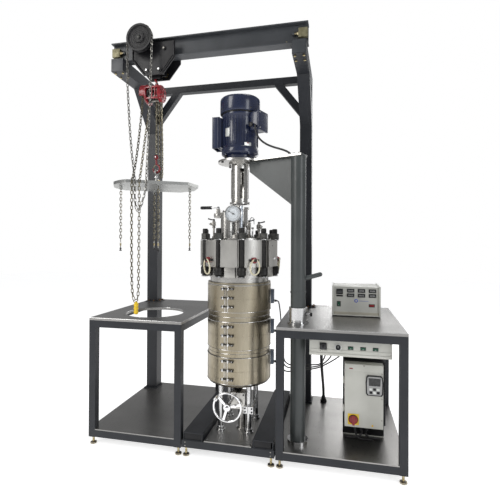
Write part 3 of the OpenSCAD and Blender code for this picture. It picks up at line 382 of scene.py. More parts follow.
    def prism(self, outline, h0, h1, finish=None):
        """Extrudes an outline of (x, y) points from height h0 to h1."""
        n = len(outline)
        verts = [(x, y, h0) for x, y in outline] + [(x, y, h1) for x, y in outline]
        faces = [tuple(range(n - 1, -1, -1)), tuple(range(n, 2 * n))]
        faces += [(i, (i + 1) % n, n + (i + 1) % n, n + i) for i in range(n)]
        self.add(verts, faces, finish)

    def make(self, body, slot=None, node=None):
        """Builds the object on a body; node names the CAD node that it is drawn in place of."""
        mesh = bpy.data.meshes.new(self.name)
        mesh.from_pydata([place(v) for v in self.verts], [], self.faces)
        for finish in self.finishes:
            mesh.materials.append(M[finish])
        mesh.polygons.foreach_set("material_index", self.slots)
        mesh.polygons.foreach_set("use_smooth", [True] * len(self.faces))
        mesh.set_sharp_from_angle(angle=math.radians(38))
        mesh.update()
        obj = bpy.data.objects.new(self.name, mesh)
        scene.collection.objects.link(obj)
        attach(obj, body)
        if node:
            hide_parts(node)
        return obj


def about(x, y, z=0, angle=0.0, tilt=None):
    m = Matrix.Translation((x, y, z)) @ Matrix.Rotation(math.radians(angle), 4, "Z")
    return m @ tilt if tilt is not None else m


def at_axis(angle=0.0):
    return about(AXIS_X, LINE_Y, 0, angle)


def circle(count, radius, start=0.0, step=None, x=0.0, y=0.0):
    """Points evenly round a circle from an angle in degrees, a whole turn unless a step is given."""
    turns = [math.radians(start + (step or 360 / count) * k) for k in range(count)]
    return [(x + radius * math.cos(a), y + radius * math.sin(a)) for a in turns]


def turned(x, y, z, angle):
    """A frame whose x axis is turned about the line of sight, for marks round a dial or knob."""
    return about(x, y, z, 0, Matrix.Rotation(math.radians(angle), 4, "Y"))


def smooth(points, steps):
    """The same smooth run through given points that the CAD tubes follow."""
    p = [Vector(q) for q in points]
    run = []
    for i in range(len(p) - 1):
        a, b, c, d = p[max(i - 1, 0)], p[i], p[i + 1], p[min(i + 2, len(p) - 1)]
        for s in range(steps):
            t = s / steps
            run.append(0.5 * (2 * b + (c - a) * t + (2 * a - 5 * b + 4 * c - d) * t * t
                              + (3 * b - a - 3 * c + d) * t ** 3))
    return run + [p[-1]]


def run_length(points):
    return sum((b - a).length for a, b in zip(points, points[1:]))


def even(points, step):
    """Points a whole step apart along a run, with the tangent at each."""
    p = [Vector(q) for q in points]
    total = run_length(p)
    count = max(2, round(total / step))
    found, i, gone = [], 0, 0.0
    for k in range(count):
        want = (k + 0.5) * total / count
        while gone + (p[i + 1] - p[i]).length < want:
            gone += (p[i + 1] - p[i]).length
            i += 1
        d = p[i + 1] - p[i]
        found.append((p[i] + d * ((want - gone) / d.length), d.normalized()))
    return found


# ---------- cables and conduit ----------

cable_a = [
    (1315, 339.2, 591), (1323, 339.6, 590), (1333, 341, 583), (1350, 345, 552), (1376, 353, 524),
    (1408, 368, 515), (1450, 385, 520), (1500, 392, 526), (1560, 384, 538),
    (1620, 364, 560), (1680, 334, 600), (1735, 300, 645), (1780, 264, 690),
    (1806, 240, 718), (1815, 225, 737),
]
cable_b = [
    (1315, 339.2, 816), (1323, 339.6, 815), (1333, 342, 806), (1342, 350, 760), (1348, 360, 690),
    (1356, 368, 600), (1382, 380, 548), (1425, 396, 534), (1490, 412, 530),
    (1560, 398, 548), (1620, 358, 574), (1670, 322, 614), (1705, 292, 660),
    (1722, 268, 702), (1730, 250, 737),
]
cable_c = [
    (1315, 339.2, 1036), (1323, 339.6, 1035), (1333, 343, 1022), (1341, 356, 960), (1348, 372, 850),
    (1358, 382, 700), (1368, 390, 596), (1396, 402, 560), (1440, 416, 548),
    (1510, 424, 552), (1570, 400, 566), (1632, 344, 594), (1662, 300, 646),
    (1676, 266, 700), (1680, 245, 737),
]
conduit = [
    (1645, 258, 738), (1645, 262, 716), (1644, 300, 668), (1642, 380, 600),
    (1641, 480, 520), (1640, 590, 440), (1640, 700, 362), (1640, 790, 290),
    (1640, 850, 230), (1640, 880, 180), (1640, 890, 130),
]
motor_run = [
    (1178, 206, 2300), (1182, 184, 2286), (1186, 174, 2262), (1194, 170, 2232),
    (1210, 172, 2200), (1236, 176, 2172), (1272, 178, 2148), (1312, 178, 2130),
    (1352, 176, 2116), (1390, 172, 2102), (1420, 168, 2086), (1436, 166, 2072),
]


def cable(name, points, r, body, node):
    run = smooth(points, 5)
    piece = Piece(name, "black_cable")
    piece.tube(run, r, sides=12)
    obj = piece.make(body, node=node)
    return obj


cable("heater_cable_low", cable_a, 4.5, "stand", "power_cables")
cable("heater_cable_middle", cable_b, 4.5, "stand", "power_cables")
cable("heater_cable_top", cable_c, 4.5, "stand", "power_cables")
cable("supply_conduit", conduit, 11, "stand", "power_cables")
cable("motor_lead", motor_run, 7, "swing", "motor_cable")


# ---------- chains ----------

def chain(piece, run, pitch, wire, width, finish=None, sides=7, corner=4):
    """Interlocked oval links along a run; every second link is turned a quarter."""
    half, bend = (pitch + wire) / 2, (width - wire) / 2
    flat = half - bend
    oval = [(flat + bend * math.sin(math.pi * k / corner), bend * math.cos(math.pi * k / corner))
            for k in range(corner + 1)]
    oval += [(-x, -y) for x, y in oval]
    normal = None
    for index, (c, t) in enumerate(even(run, pitch)):
        if normal is None:
            pick = Vector((0, 1, 0)) if abs(t.z) > 0.9 else Vector((0, 0, 1))
            normal = t.cross(pick).normalized()
        normal = (normal - t * normal.dot(t)).normalized()
        side = normal if index % 2 else t.cross(normal)
        piece.tube([c + t * x + side * y for x, y in oval], wire / 2, sides, True, finish)


# Centre of the trolley's hand-chain wheel
travel_x = HOIST_X - 81
WHEEL_Z = 3012
travel_loop = [
    (travel_x - 101, 190, WHEEL_Z), (travel_x - 100, 186, 2890), (194, 170, 2700),
    (218, 146, 2500), (248, 116, 2300), (284, 84, 2100), (316, 56, 1970),
    (332, 38, 1924), (337, 30, 1916), (339, 27, 1900), (340, 27, 1850),
    (342, 24, 1790), (351, 22, 1720), (367, 23, 1690), (385, 32, 1718),
    (398, 50, 1790), (406, 64, 1850), (407, 68, 1900), (404, 72, 1916),
    (402, 80, 1926), (398, 92, 1990), (394, 112, 2120), (390, 138, 2320),
    (386, 162, 2560), (385, 180, 2800), (travel_x + 101, 190, WHEEL_Z),
]
hoist_loop = [
    (276, 260, 2610), (277, 246, 2500), (282, 216, 2380), (289, 176, 2240),
    (297, 130, 2100), (306, 82, 1988), (314, 44, 1930), (320, 26, 1918),
    (322, 18, 1900), (322, 17, 1850), (322, 17, 1700), (322, 18, 1500),
    (323, 20, 1300), (324, 22, 1180), (328, 25, 1100), (338, 31, 1050),
    (350, 38, 1044), (360, 43, 1070), (363, 45, 1140), (364, 45, 1300),
    (365, 45, 1500), (366, 44, 1700), (366, 43, 1850), (366, 44, 1900),
    (363, 52, 1918), (358, 68, 1930), (346, 108, 2000), (332, 160, 2110),
    (316, 220, 2240), (300, 284, 2380), (285, 346, 2510), (276, 380, 2610),
]
slack_loop = [
    (388, 316, 2560), (388, 320, 2440), (387, 328, 2280), (387, 334, 2140),
    (388, 336, 2000), (391, 336, 1976), (398, 336, 1968), (405, 336, 1976),
    (408, 336, 2000), (409, 334, 2140), (409, 328, 2280), (408, 320, 2440),
    (407, 316, 2560),
]
hand = Piece("hand_chain_links", "chain_steel")
over_wheel = [(x, 190, z) for x, z in circle(12, 101, 12, 14, travel_x, WHEEL_Z)]
chain(hand, smooth(travel_loop, 3) + over_wheel, 27, 5.8, 20.5)
chain(hand, smooth(hoist_loop, 3), 27, 5.8, 20.5, "brass_chain")
chain(hand, smooth(slack_loop, 3), 19, 5, 15.5, "brass_chain")
# Ribbed yellow tag at the foot of the loop
tag = [(0, 0), (9, 0), (13, 3)]
for k in range(3):
    z = 4 + 26 * k
    tag += [(13.6, z), (16.5, z + 7), (16.5, z + 16), (13.6, z + 23)]
tag += [(11, 84), (6, 90), (0, 92)]
hand.lathe((350, 38, 946), UP, tag, 28, "yellow")
hand.make("trolley", "chain_steel", "hand_chains")

load = Piece("load_chain_links", "brass_chain")
chain(load, [Vector((HOIST_X, LINE_Y, 2146)), Vector((HOIST_X, LINE_Y, 2590))], 19, 5.6, 18)
load.make("hook", "chain_steel", "load_chain")

PLATE_A = 30
plate_frame = about(HOIST_X, LINE_Y, 0, PLATE_A)
chain_points = [(264, 0), (0, 210), (-264, 0), (0, -210)]
slings = Piece("sling_chains", "brass_chain")
slings.move(plate_frame)
for x, y in chain_points:
    chain(slings, [Vector((x, y, 1468)), Vector((x, y, 1872))], 24, 5.4, 19.5)
    # Quick link with its screwed sleeve, then the end bolt
    oval = [(x, y + 10.5 * math.cos(a), 1438 + 10.5 * math.sin(a) + (22 if 0 < a < math.pi else -8))
            for a in (math.radians(d) for d in range(8, 361, 22))]
    slings.tube(oval, 3.2, 9, True, "chain_steel")
    slings.hexagon((x, y - 10.5, 1434), UP, 6, 20, "zinc_steel")
    slings.rod((x, y, 1400), UP, 4.5, 24, 1, 16, "black_oxide")
    slings.hexagon((x, y, 1395), UP, 9, 8, "black_oxide")
    slings.hexagon((x, y, 1409), UP, 8, 6, "nut_grey")
slings.make("hook", "chain_steel", "lifting_chains")

plate_parts = Piece("plate_hardware", "bright_steel")
plate_parts.move(plate_frame)
for x, y in chain_points:
    plate_parts.hexagon((x, y, 1910), UP, 11, 8, "zinc_steel")
    plate_parts.ring((x, y, 1908.5), UP, 15, 6, 2.5)
    plate_parts.rod((x, y, 1918), UP, 5, 6, 1, 16)
plate_parts.hexagon((0, 0, 1917.5), UP, 24, 16, "zinc_steel")
plate_parts.ring((0, 0, 1964), UP, 17, 10, 14)
plate_parts.make("hook")


# ---------- trolley and hoist ----------

trolley = Piece("trolley_hardware", "bright_steel").move(about(HOIST_X, 0))
for x in (-52, 52):
    for y, way in ((256, -1), (384, 1)):
        trolley.ring((x, y - 10 * way, 2790), (0, way, 0), 22, 10, 3, finish="zinc_steel")
        trolley.hexagon((x, y - 7 * way, 2790), (0, way, 0), 18.5, 12)
        trolley.rod((x, y - 6 * way, 2790), (0, way, 0), 9.5, 22)
for x in (-90, 90):
    for y, tip, way in ((256, 247, -1), (374, 383, 1)):
        trolley.hexagon((x, y, 2947.5), (0, way, 0), 17, 9, "black_oxide", 0.4)
        trolley.rod((x, tip, 2947.5), (0, way, 0), 8, 5, 1, 20, "dark_steel")
# Turned-out lips of the side plates and the guard under the wheel
for x0, x1 in ((-176, -168), (168, 176)):
    trolley.box((x0, 246, 2872), (x1, 256, 2998), 2, "black_paint")
for way in (-1, 1):
    stay = [(74 * way, 246, 2766), (150 * way, 244, 2862), (168 * way, 243, 2884)]
    trolley.tube(stay, 4, 8, False, "black_paint")
trolley.make("trolley")

wheel = Piece("travel_wheel_grooves", "black_paint")
for r in (34, 52, 66, 78):
    wheel.torus((travel_x, 190 - (14 if r < 40 else 6), WHEEL_Z), FRONT, r, 1.8, 48, 8)
wheel.rod((travel_x, 176, WHEEL_Z), FRONT, 17, 4)
wheel.hexagon((travel_x, 172.5, WHEEL_Z), FRONT, 12, 6, "nut_grey")
for k in range(14):
    wheel.move(turned(travel_x, 190, WHEEL_Z, 360 * k / 14))
    for y in (-14, 11):
        wheel.box((92, y, -4), (103, y + 3, 4), 1)
wheel.make("travel_chain_wheel")

stops = Piece("beam_stops", "olive_block")
for x0, x1, tip in ((-6.6, 58.8, 1), (1474.4, 1539.6, -1)):
    stops.box((x0, 284.2, 2934.4), (x1, 316.4, 3001.6), 3)
    stops.box((x0, 323.6, 2934.4), (x1, 355.8, 3001.6), 3)
    end = x1 if tip > 0 else x0
    for y in (301, 339):
        stops.hexagon((end, y, 2968), (tip, 0, 0), 14.5, 12, "zinc_steel")
        for k in range(9):
            stops.ring((end + tip * (12 + 3 * k), y, 2968), (tip, 0, 0), 8.7, 7.9, 1.7, 0.4, 20,
                       "zinc_steel")
stops.make("stand")

HZ = 2622
hoist = Piece("hoist_housing", "red_paint").move(about(0, LINE_Y, HZ))
# Dished cover of the hand wheel, open below so that its chain can leave
hoist.lathe((302, 0, 0), LEFT, [
    (20, 0), (74, 0), (78, 4), (78, 12), (76, 15), (72, 15), (70, 12), (70, 4), (20, 4), (20, 0)], 56)
hoist.move(Matrix(((0, 0, 1, 250), (1, 0, 0, LINE_Y), (0, 1, 0, HZ), (0, 0, 0, 1))))
for inside, depth in ((70, 44), (20, 4)):
    hoist.prism(circle(23, 78, -20, 10) + circle(23, inside, 200, -10), 0, depth)
for x, y in circle(5, 62, 10, 40):
    hoist.hexagon((x, y, 0), DOWN, 5, 4, "nut_grey")
for x, y in circle(6, 50, 30):
    hoist.rod((x, y, 52), UP, 7, 90, 1, 14, "dark_steel")
hoist.move(about(0, LINE_Y, HZ))
hoist.lathe((302, 0, 0), RIGHT, [
    (0, 0), (56, 0), (60, 3), (60, 14), (54, 17), (40, 19), (38, 28), (0, 28)], 48, "black_paint")
hoist.lathe((340, 0, 0), RIGHT, [
    (0, 0), (30, 0), (30, 12), (24, 15), (24, 35), (30, 38), (30, 50), (0, 50)], 32, "black_paint")
for y in (-44, 32):
    hoist.box((302, y, 38), (418, y + 12, 56), 3)
hoist.box((304, -20, 46), (416, 20, 64), 5)
hoist.lathe((390, 0, 0), RIGHT, [
    (0, 0), (60, 0), (66, 4), (66, 20), (63, 26), (56, 29), (38, 30), (36, 33), (34, 37),
    (30, 40), (0, 41)], 56)
for y, z in circle(8, 50, 22.5):
    hoist.hexagon((419, y, z), RIGHT, 5.2, 4, "nut_grey")
hoist.rod((430.6, 0, 0), RIGHT, 10, 0.6, 0.2, 20, "nut_grey")
# Rib across the front of the black middle, and the chain guide below it
for x0, z0, x1, y1, z1 in ((344, -40, 354, -54, 44), (304, 34, 416, -50, 46),
                           (304, -50, 416, -50, -38), (372, -40, 380, -54, 44)):
    hoist.box((x0, -62, z0), (x1, y1, z1), 3)
# Top hook: swivel, shank and a curved bill round the trolley's pin
hoist.rod((HOIST_X, 0, 62), UP, 15, 16, 2)
hoist.hexagon((HOIST_X, 0, 76), UP, 13, 10, "nut_grey")
bill = [(HOIST_X, 0, 82), (HOIST_X - 2, 0, 96), (HOIST_X - 10, 0, 108)]
bill += [(x, 0, z) for x, z in circle(17, 19, 215, -15, HOIST_X, 142)]
hoist.tube(smooth(bill, 2), [8.5 - 0.09 * k for k in range(2 * len(bill) - 1)], 12)
hoist.make("trolley", "red_paint", "hoist_body")

hook = Piece("load_hook_bill", "red_paint").move(about(HOIST_X, LINE_Y))
hook.rod((0, 0, 2112), UP, 15.5, 30, 4)
hook.rod((0, 0, 2141), UP, 12, 10, 2, 24, "nut_grey")
hook.rod((0, -17, 2128), REAR, 5, 34, 1, 16, "bright_steel")
hook.rod((0, 0, 2068), UP, 7.5, 46, 1.5, 20)
curve = [(0, 0, 2074), (12, 0, 2067), (23, 0, 2054)]
curve += [(x, 0, z) for x, z in circle(15, 28, 15, -15, 0, 2036)]
count = 2 * len(curve) - 1
hook.tube(smooth(curve, 2), [6 + 2.6 * math.sin(math.pi * k / count) - 2 * k / count
                             for k in range(count)], 12)
hook.tube([(-5, 0, 2070), (-16, 0, 2060), (-25, 0, 2044)], 2.2, 8, False, "zinc_steel")
hook.make("hook", "red_paint", "load_hook")


# ---------- gantry, tables and base details ----------

welds = Piece("gantry_details", "frame_paint")
for x in (22, 1435):
    # Light end plate of the arm, with its weld bead
    welds.box((x + 3, 226.4, 2796), (x + 97, 227.2, 2890), 0.3, "beam_paint")
    loop = [(x + 1, 232.6, 2794), (x + 99, 232.6, 2794), (x + 99, 232.6, 2892), (x + 1, 232.6, 2892)]
    welds.tube(loop, 1.6, 6, True)
    for y in (262, 340):
        for bx in (x + 18, x + 82):
            welds.hexagon((bx, y, 2792), DOWN, 9, 8, "zinc_steel")
    for bx, by in ((x + 24, 832), (x + 76, 832), (x + 118, 872), (x + 118, 928)):
        welds.hexagon((bx, by, 922), UP, 9, 8, "copper_brown")
        welds.ring((bx, by, 921.8), UP, 12, 8, 2, finish="copper_brown")
for x in (1390, 1510):
    for y in (290, 350):
        welds.hexagon((x, y, 2902), UP, 8, 7, "zinc_steel")
welds.make("stand")

table = Piece("table_details", "stainless_sheet")
# Folded hems of the steel tops, and the bright lip of the vessel hole
for x0, x1 in ((0, 710), (1364, 2174)):
    table.tube([(x0 + 2, 1.2, 912.6), (x1 - 2, 1.2, 912.6)], 1.6, 8, False, "bright_steel")
    table.tube([(x1 - 1.2, 2, 912.6), (x1 - 1.2, 998, 912.6)], 1.6, 8, False, "bright_steel")
table.torus((HOIST_X, LINE_Y, 913.2), UP, 222.5, 1.4, 96, 8, "bright_steel")
for x, y in circle(4, 244, 45, None, HOIST_X, LINE_Y):
    table.rod((x, y, 913.8), UP, 6, 1.6, 0.8, 16, "dark_steel")
# Clips and screws that hold the shelves and the base's floor plate
for x in (888, 1192):
    for y in (30, 480, 960):
        table.rod((x, y, 119.8), UP, 6, 2.6, 1, 16, "bright_steel")
table.make("stand", "stainless_sheet")

frames = Piece("frame_details", "frame_paint")
# Weld beads where the front rails meet the legs, and caps in the rail ends
for x0, x1 in ((0, 710), (1364, 2174)):
    for x in (x0 + 50, x1 - 50):
        for z0 in (846, 56):
            frames.tube([(x, 0.6, z0 + 1), (x, 0.6, z0 + 49)], 1.1, 6)
for x in (730, 1204):
    frames.box((x + 5.5, 6, 117.5), (x + 130.5, 9, 159.5), 1, "black_plastic")
for x in (717, 1307):
    for z in (75, 99):
        frames.rod((x + 25, 0.4, z), FRONT, 4, 1.5, 0.6, 14, "dark_steel")
frames.make("stand")

feet = Piece("feet_threads", "zinc_steel")
for x in (25, 685, 742, 1332, 1389, 2149):
    top = 62 if x in (742, 1332) else 54
    for y in (25, 975):
        for k in range(7):
            feet.ring((x, y, 12 + 4.2 * k), UP, 8.2, 6.5, 2, 0.8, 16)
        feet.lathe((x, y, 0), UP, [(0, 0.4), (21, 0.4), (23.5, 3), (22, 9), (12, 13), (8, 15)], 28,
                   "dark_steel")
        feet.hexagon((x, y, top - 9), UP, 14, 8)
feet.make("stand")

collar = Piece("post_bearing", "bright_steel").move(about(SWING_X, SWING_Y))
for x, y in circle(6, 66.5, 15):
    collar.hexagon((x, y, 923), UP, 5.2, 5)
collar.torus((0, 0, 1021.5), UP, 58.5, 3.2, 48, 10)
collar.torus((0, 0, 940), UP, 62, 1.6, 48, 8)
collar.rod((60, -6, 978), RIGHT, 7, 22, 1.5, 20)
collar.rod((80, -6, 978), RIGHT, 13, 16, 3, 24, "black_plastic")
collar.make("stand")


# ---------- vessel jack ----------

SCREW_X, SCREW_Y = 1080, 262
jack = Piece("jack_fittings", "machined_steel")
for dx in (-18, 62):
    for z in (284, 374):
        jack.rod((AXIS_X + dx, 205, z), FRONT, 6, 5, 1, 18, "black_oxide")
for x, y in circle(4, 36, 45, None, SCREW_X, SCREW_Y):
    jack.hexagon((x, y, 128), UP, 6, 5, "nut_grey")
for post in ((937, 200), (937, 440), (1143, 200), (1143, 440)):
    for x, y in circle(4, 29, 45, None, *post):
        jack.hexagon((x, y, 128), UP, 3.4, 3.5, "nut_grey")
jack.make("stand")

grip = Piece("handwheel_polish", "chrome")
gx, gz = circle(1, 94, 133, None, AXIS_X, 363)[0]
grip.lathe((AXIS_X, -19.6, 363), FRONT, [(12, 0), (11.6, 1.4), (8, 3.2), (0, 4)], 36)
grip.torus((AXIS_X, -12, 363), FRONT, 22.4, 1.2, 40, 8)
grip.torus((gx, -22.5, gz), FRONT, 10.8, 1.4, 28, 8)
grip.torus((gx, -55, gz), FRONT, 10.9, 1.0, 28, 8)
grip.make("jack_handwheel")

screw = Piece("jack_thread", "dark_steel")
helix = [(x, y, 205 + 5 * k / 14)
         for k, (x, y) in enumerate(circle(14 * 10, 8.14, 0, 360 / 14, SCREW_X, SCREW_Y))]
screw.tube(helix, 0.9, 6)
screw.make("screw")

lift = Piece("lift_block_screws", "black_oxide")
for dx in (44, 92):
    for z in (277, 301):
        lift.rod((SCREW_X + dx, 158, z), FRONT, 6, 4, 1, 18)
lift.make("lift")


# ---------- vessel, heater and closure ----------

heater = Piece("heater_trim", "heater_steel").move(at_axis())
for z0, z1 in ((977, 1162), (716, 910), (478, 664)):
    for z in (z0 + 1, z1 - 1):
        heater.torus((0, 0, z), UP, 234.1, 1.5, 96, 8, "bright_steel")
    mid = (z0 + z1) / 2
    heater.torus((0, 0, mid), UP, 233.7, 1.1, 96, 6)
    for a in (-99, 81):
        heater.move(at_axis(a))
        heater.box((233, -3, z0 + 2), (236.2, 3, z1 - 2), 0.8, "dark_steel")
        for y in (-14, 11):
            heater.box((233, y, z0 + 2), (235.4, y + 3, z1 - 2), 0.8, "bright_steel")
    heater.move(at_axis())
for z in (664, 716, 910, 977):
    heater.torus((0, 0, z), UP, 229, 2.2, 96, 8, "dark_steel")
for z in (690, 943):
    heater.torus((0, 0, z), UP, 228.4, 1.4, 96, 6, "bright_steel")
heater.ring((0, 0, 1164), UP, 233.6, 215, 6, 2, 96, "ring_steel")
heater.make("lift", "heater_steel")

clamps = Piece("heater_clamps", "dark_steel")
for zone in (977, 716, 478):
    for step in (30, 92, 154):
        clamps.move(at_axis(-99))
        z = zone + step
        for y0 in (-26, 14):
            clamps.box((232, y0, z), (250, y0 + 10, z + 22), 2, "bright_steel")
        clamps.rod((243, -32, z + 11), REAR, 3.6, 88, 1, 14, "black_oxide")
        clamps.hexagon((243, -34, z + 11), REAR, 7.6, 7, "black_oxide")
        clamps.ring((243, 24, z + 11), REAR, 9, 4, 2.2, finish="bright_steel")
        coil = [(243 + 6.4 * math.sin(a), 27 + a * 22 / (2 * math.pi * 6), z + 11 + 6.4 * math.cos(a))
                for a in (2 * math.pi * k / 10 for k in range(61))]
        clamps.tube(coil, 1.5, 6)
        clamps.ring((243, 50, z + 11), REAR, 9, 4, 2.2, finish="bright_steel")
        clamps.hexagon((243, 52, z + 11), REAR, 7.6, 7, "black_oxide", 0.5)
for zone in (1020, 800, 575):
    clamps.move(at_axis(4))
    clamps.box((233, -24, zone), (259, 24, zone + 100), 3, "slate_box")
    clamps.box((233.5, -27, zone - 3), (237.5, 27, zone + 103), 1.5, "bright_steel")
    for y, z in ((-17, 8), (17, 8), (-17, 92), (17, 92)):
        clamps.rod((259, y, zone + z), RIGHT, 3.2, 2, 0.6, 12, "bright_steel")
    clamps.hexagon((259, 0, zone + 16), RIGHT, 10, 6, "bright_steel")
    clamps.lathe((265, 0, zone + 16), RIGHT, [(0, 0), (8.5, 0), (8.5, 7), (6, 13), (5.2, 13), (0, 13)],
                 20, "black_plastic")
clamps.make("lift", node="heater_fittings")

studs = Piece("threaded_studs", "black_oxide")
for k in range(10):
    studs.move(at_axis(STUD_A0 + 36 * k))
    profile, z = [(0, 1228), (16, 1228), (18.6, 1231)], 1234.0
    while z < 1554:
        profile += [(18.6, z), (20, z + 2.0), (18.6, z + 4.0)]
        z += 5.0
    profile += [(18.4, 1556), (16, 1561), (0, 1561)]
    studs.lathe((265, 0, 0), UP, profile, 24)
    studs.rod((265, 0, 1217), UP, 12, 12, 1, 20, "bright_steel")
    studs.ring((265, 0, 1219), UP, 27, 11, 5, 1.5, 28, "bright_steel")
    studs.ring((265, 0, 1228), UP, 24, 11, 5, 1.5, 28, "black_oxide")
    nut = [(19, 0), (28, 0), (31, 3), (31, 24), (29.6, 25), (29.6, 29), (31, 30), (31, 50), (28, 54)]
    studs.lathe((265, 0, 1236), UP, nut + [(19, 54)], 36)
    studs.ring((265, 0, 1479.2), UP, 32, 19, 6, 1.2, 40, "bright_steel")
    studs.hexagon((265, 0, 1485.4), UP, 31, 42, "nut_grey", 0.3, 19)
studs.make("lift", "black_oxide", "clamp_studs")

blocks = Piece("ring_details", "ring_steel")
for k in range(5):
    blocks.move(at_axis(BLOCK_A0 + 72 * k))
    for y in (-58.6, 57.8):
        blocks.box((280, y, 1296), (286.6, y + 0.8, 1475), 0.2, "bright_steel")
    if k == 1:
        blocks.rod((285.4, 12, 1350), RIGHT, 12, 2, 0.8, 28, "dark_steel")
        blocks.lathe((287, 12, 1350), RIGHT, [(10, 0), (9.4, 4), (6, 8), (0, 9.4)], 28, "chrome")
        blocks.rod((285.8, -14, 1440), RIGHT, 4, 1.4, 0.5, 14, "black_oxide")
    else:
        blocks.rod((285.6, 0, 1462), RIGHT, 3, 0.8, 0.3, 14, "dark_steel")
    blocks.box((261.4, -37.6, 1223), (262.6, 37.6, 1288), 0.4)
blocks.make("lift", "ring_steel")

for k in range(4):
    angle = BLOCK_A0 - 36 + 72 * k
    ring = Piece("lifting_ring_%d_loop" % (k + 1), "ring_cream")
    ring.move(at_axis(angle) @ Matrix.Translation((290, 0, 1340)))
    loop = [(3 + 5 * c, 34 * d * (1 - 0.08 * c), 52 * c - 46) for c, d in circle(24, 1)]
    ring.tube(loop, 5.6, 10, True)
    ring.rod((-16, 0, 0), RIGHT, 21, 14, 2.5, 32, "red_paint")
    ring.rod((-4, 0, 0), RIGHT, 17, 12, 2.5, 32, "red_paint")
    ring.rod((2, 0, 0), RIGHT, 11, 14, 1.5, 24, "black_oxide")
    ring.hexagon((8, 0, 0), RIGHT, 10, 7, "black_oxide")
    for y in (-34, 19):
        ring.rod((-10, y, 0), REAR, 8.6, 15, 2, 20, "black_oxide")
    ring.make("ring_%d" % (k + 1), "ring_cream", "lifting_ring_%d" % (k + 1))


# ---------- head fittings ----------

PX, PY = AXIS_X - 76, LINE_Y - 42
head = Piece("head_fittings", "machined_steel").move(about(PX, PY))
for x, y in circle(6, 38, 30):
    head.rod((x, y, 1694), UP, 4.5, 5, 1, 16, "black_oxide")
for z, r in ((1681, 55), (1494, 57)):
    head.torus((0, 0, z), UP, r, 2.4, 48, 10)
head.hexagon((0, 0, 1694), UP, 20, 16, "dark_steel")
head.move(at_axis())
for x, y in circle(8, 80, 22):
    head.rod((x, y, 1518), UP, 5.5, 8, 1, 18, "black_oxide")
head.torus((0, 0, 1520), UP, 63, 2.2, 48, 10)
# Cooling tube beside the drive housing, with its nuts
head.rod((30, -74, 1500), UP, 12.4, 226, 1.5, 28, "tube_blue")
head.hexagon((30, -74, 1493), UP, 21, 20)
head.rod((30, -74, 1512), UP, 16, 12, 2, 24)
# Small angled tubes and nuts on the front of the head
for x, y, h in ((64, -78, 74), (88, -42, 96), (-112, -64, 52), (118, -92, 60), (20, -128, 40)):
    head.hexagon((x, y, 1492), UP, 13, 13)
    head.rod((x, y, 1504), UP, 5.5, h, 1, 18, "bright_steel")
    head.hexagon((x, y, 1500 + h), UP, 9.5, 11)
bend = [(88, -42, 1606), (90, -44, 1630), (104, -50, 1644), (118, -56, 1636), (122, -60, 1612),
        (122, -60, 1594)]
head.tube(smooth(bend, 4), 3.6, 10, False, "bright_steel")
head.make("lift")


def needle_valve(piece, p, a):
    """A forged needle valve: stem, hexagon inlet, angled body and bonnet."""
    x, y, z = p
    piece.rod((x, y, 1492), UP, 7, z - 1490, 1, 18)
    piece.hexagon((x, y, 1492), UP, 14, 16)
    piece.hexagon((x, y, z - 16), UP, 12, 14)
    piece.move(about(x, y, z, a))
    piece.box((-14, -12, 0), (14, 12, 30), 3)
    piece.rod((13, 0, 15), RIGHT, 8.6, 14, 1.5, 20)
    piece.hexagon((20, 0, 15), RIGHT, 11, 9)
    piece.rod((28, 0, 15), RIGHT, 5, 12, 1, 16, "bright_steel")
    piece.hexagon((0, 0, 29), UP, 12, 7)
    piece.rod((0, 0, 35), UP, 7.4, 5, 1, 18)
    piece.move()


# Small valves: place of the body, the way its outlet faces, the way its lever points
SMALL_VALVES = {"left": ((850, 285, 1585), 180, 200), "front": ((1128, 250, 1572), -90, -20),
                "right": ((1196, 268, 1560), -40, 10)}
valves = Piece("valve_bodies_forged", "dark_steel")
for name, (p, angle, lever_angle) in SMALL_VALVES.items():
    needle_valve(valves, p, angle)
valves.move(about(PX, PY))
valves.rod((-52, 0, 1662), LEFT, 14, 52, 1.5, 28)
valves.hexagon((-46, 0, 1662), LEFT, 21, 14, "machined_steel")
valves.box((-98, -17, 1642), (-58, 17, 1706), 5, "machined_steel")
valves.hexagon((-98, 0, 1662), LEFT, 19, 10, "machined_steel")
valves.rod((-78, -17, 1662), FRONT, 13, 5, 1.5, 24, "machined_steel")
valves.rod((-78, 0, 1704), UP, 14, 6, 1.5, 24)
valves.rod((-78, 0, 1709), UP, 10.8, 7, 1, 24, "bright_steel")
valves.move(at_axis())
valves.rod((0, 0, 428), UP, 12, 46, 1, 24)
valves.hexagon((0, 0, 431), UP, 25, 13, "zinc_steel")
valves.box((-26, -20, 371), (26, 20, 419), 5, "black_paint")
valves.rod((0, 0, 417), UP, 17, 14, 2, 24, "black_paint")
valves.hexagon((0, 0, 353), UP, 24, 17, "zinc_steel")
valves.make("lift", node="valve_bodies")

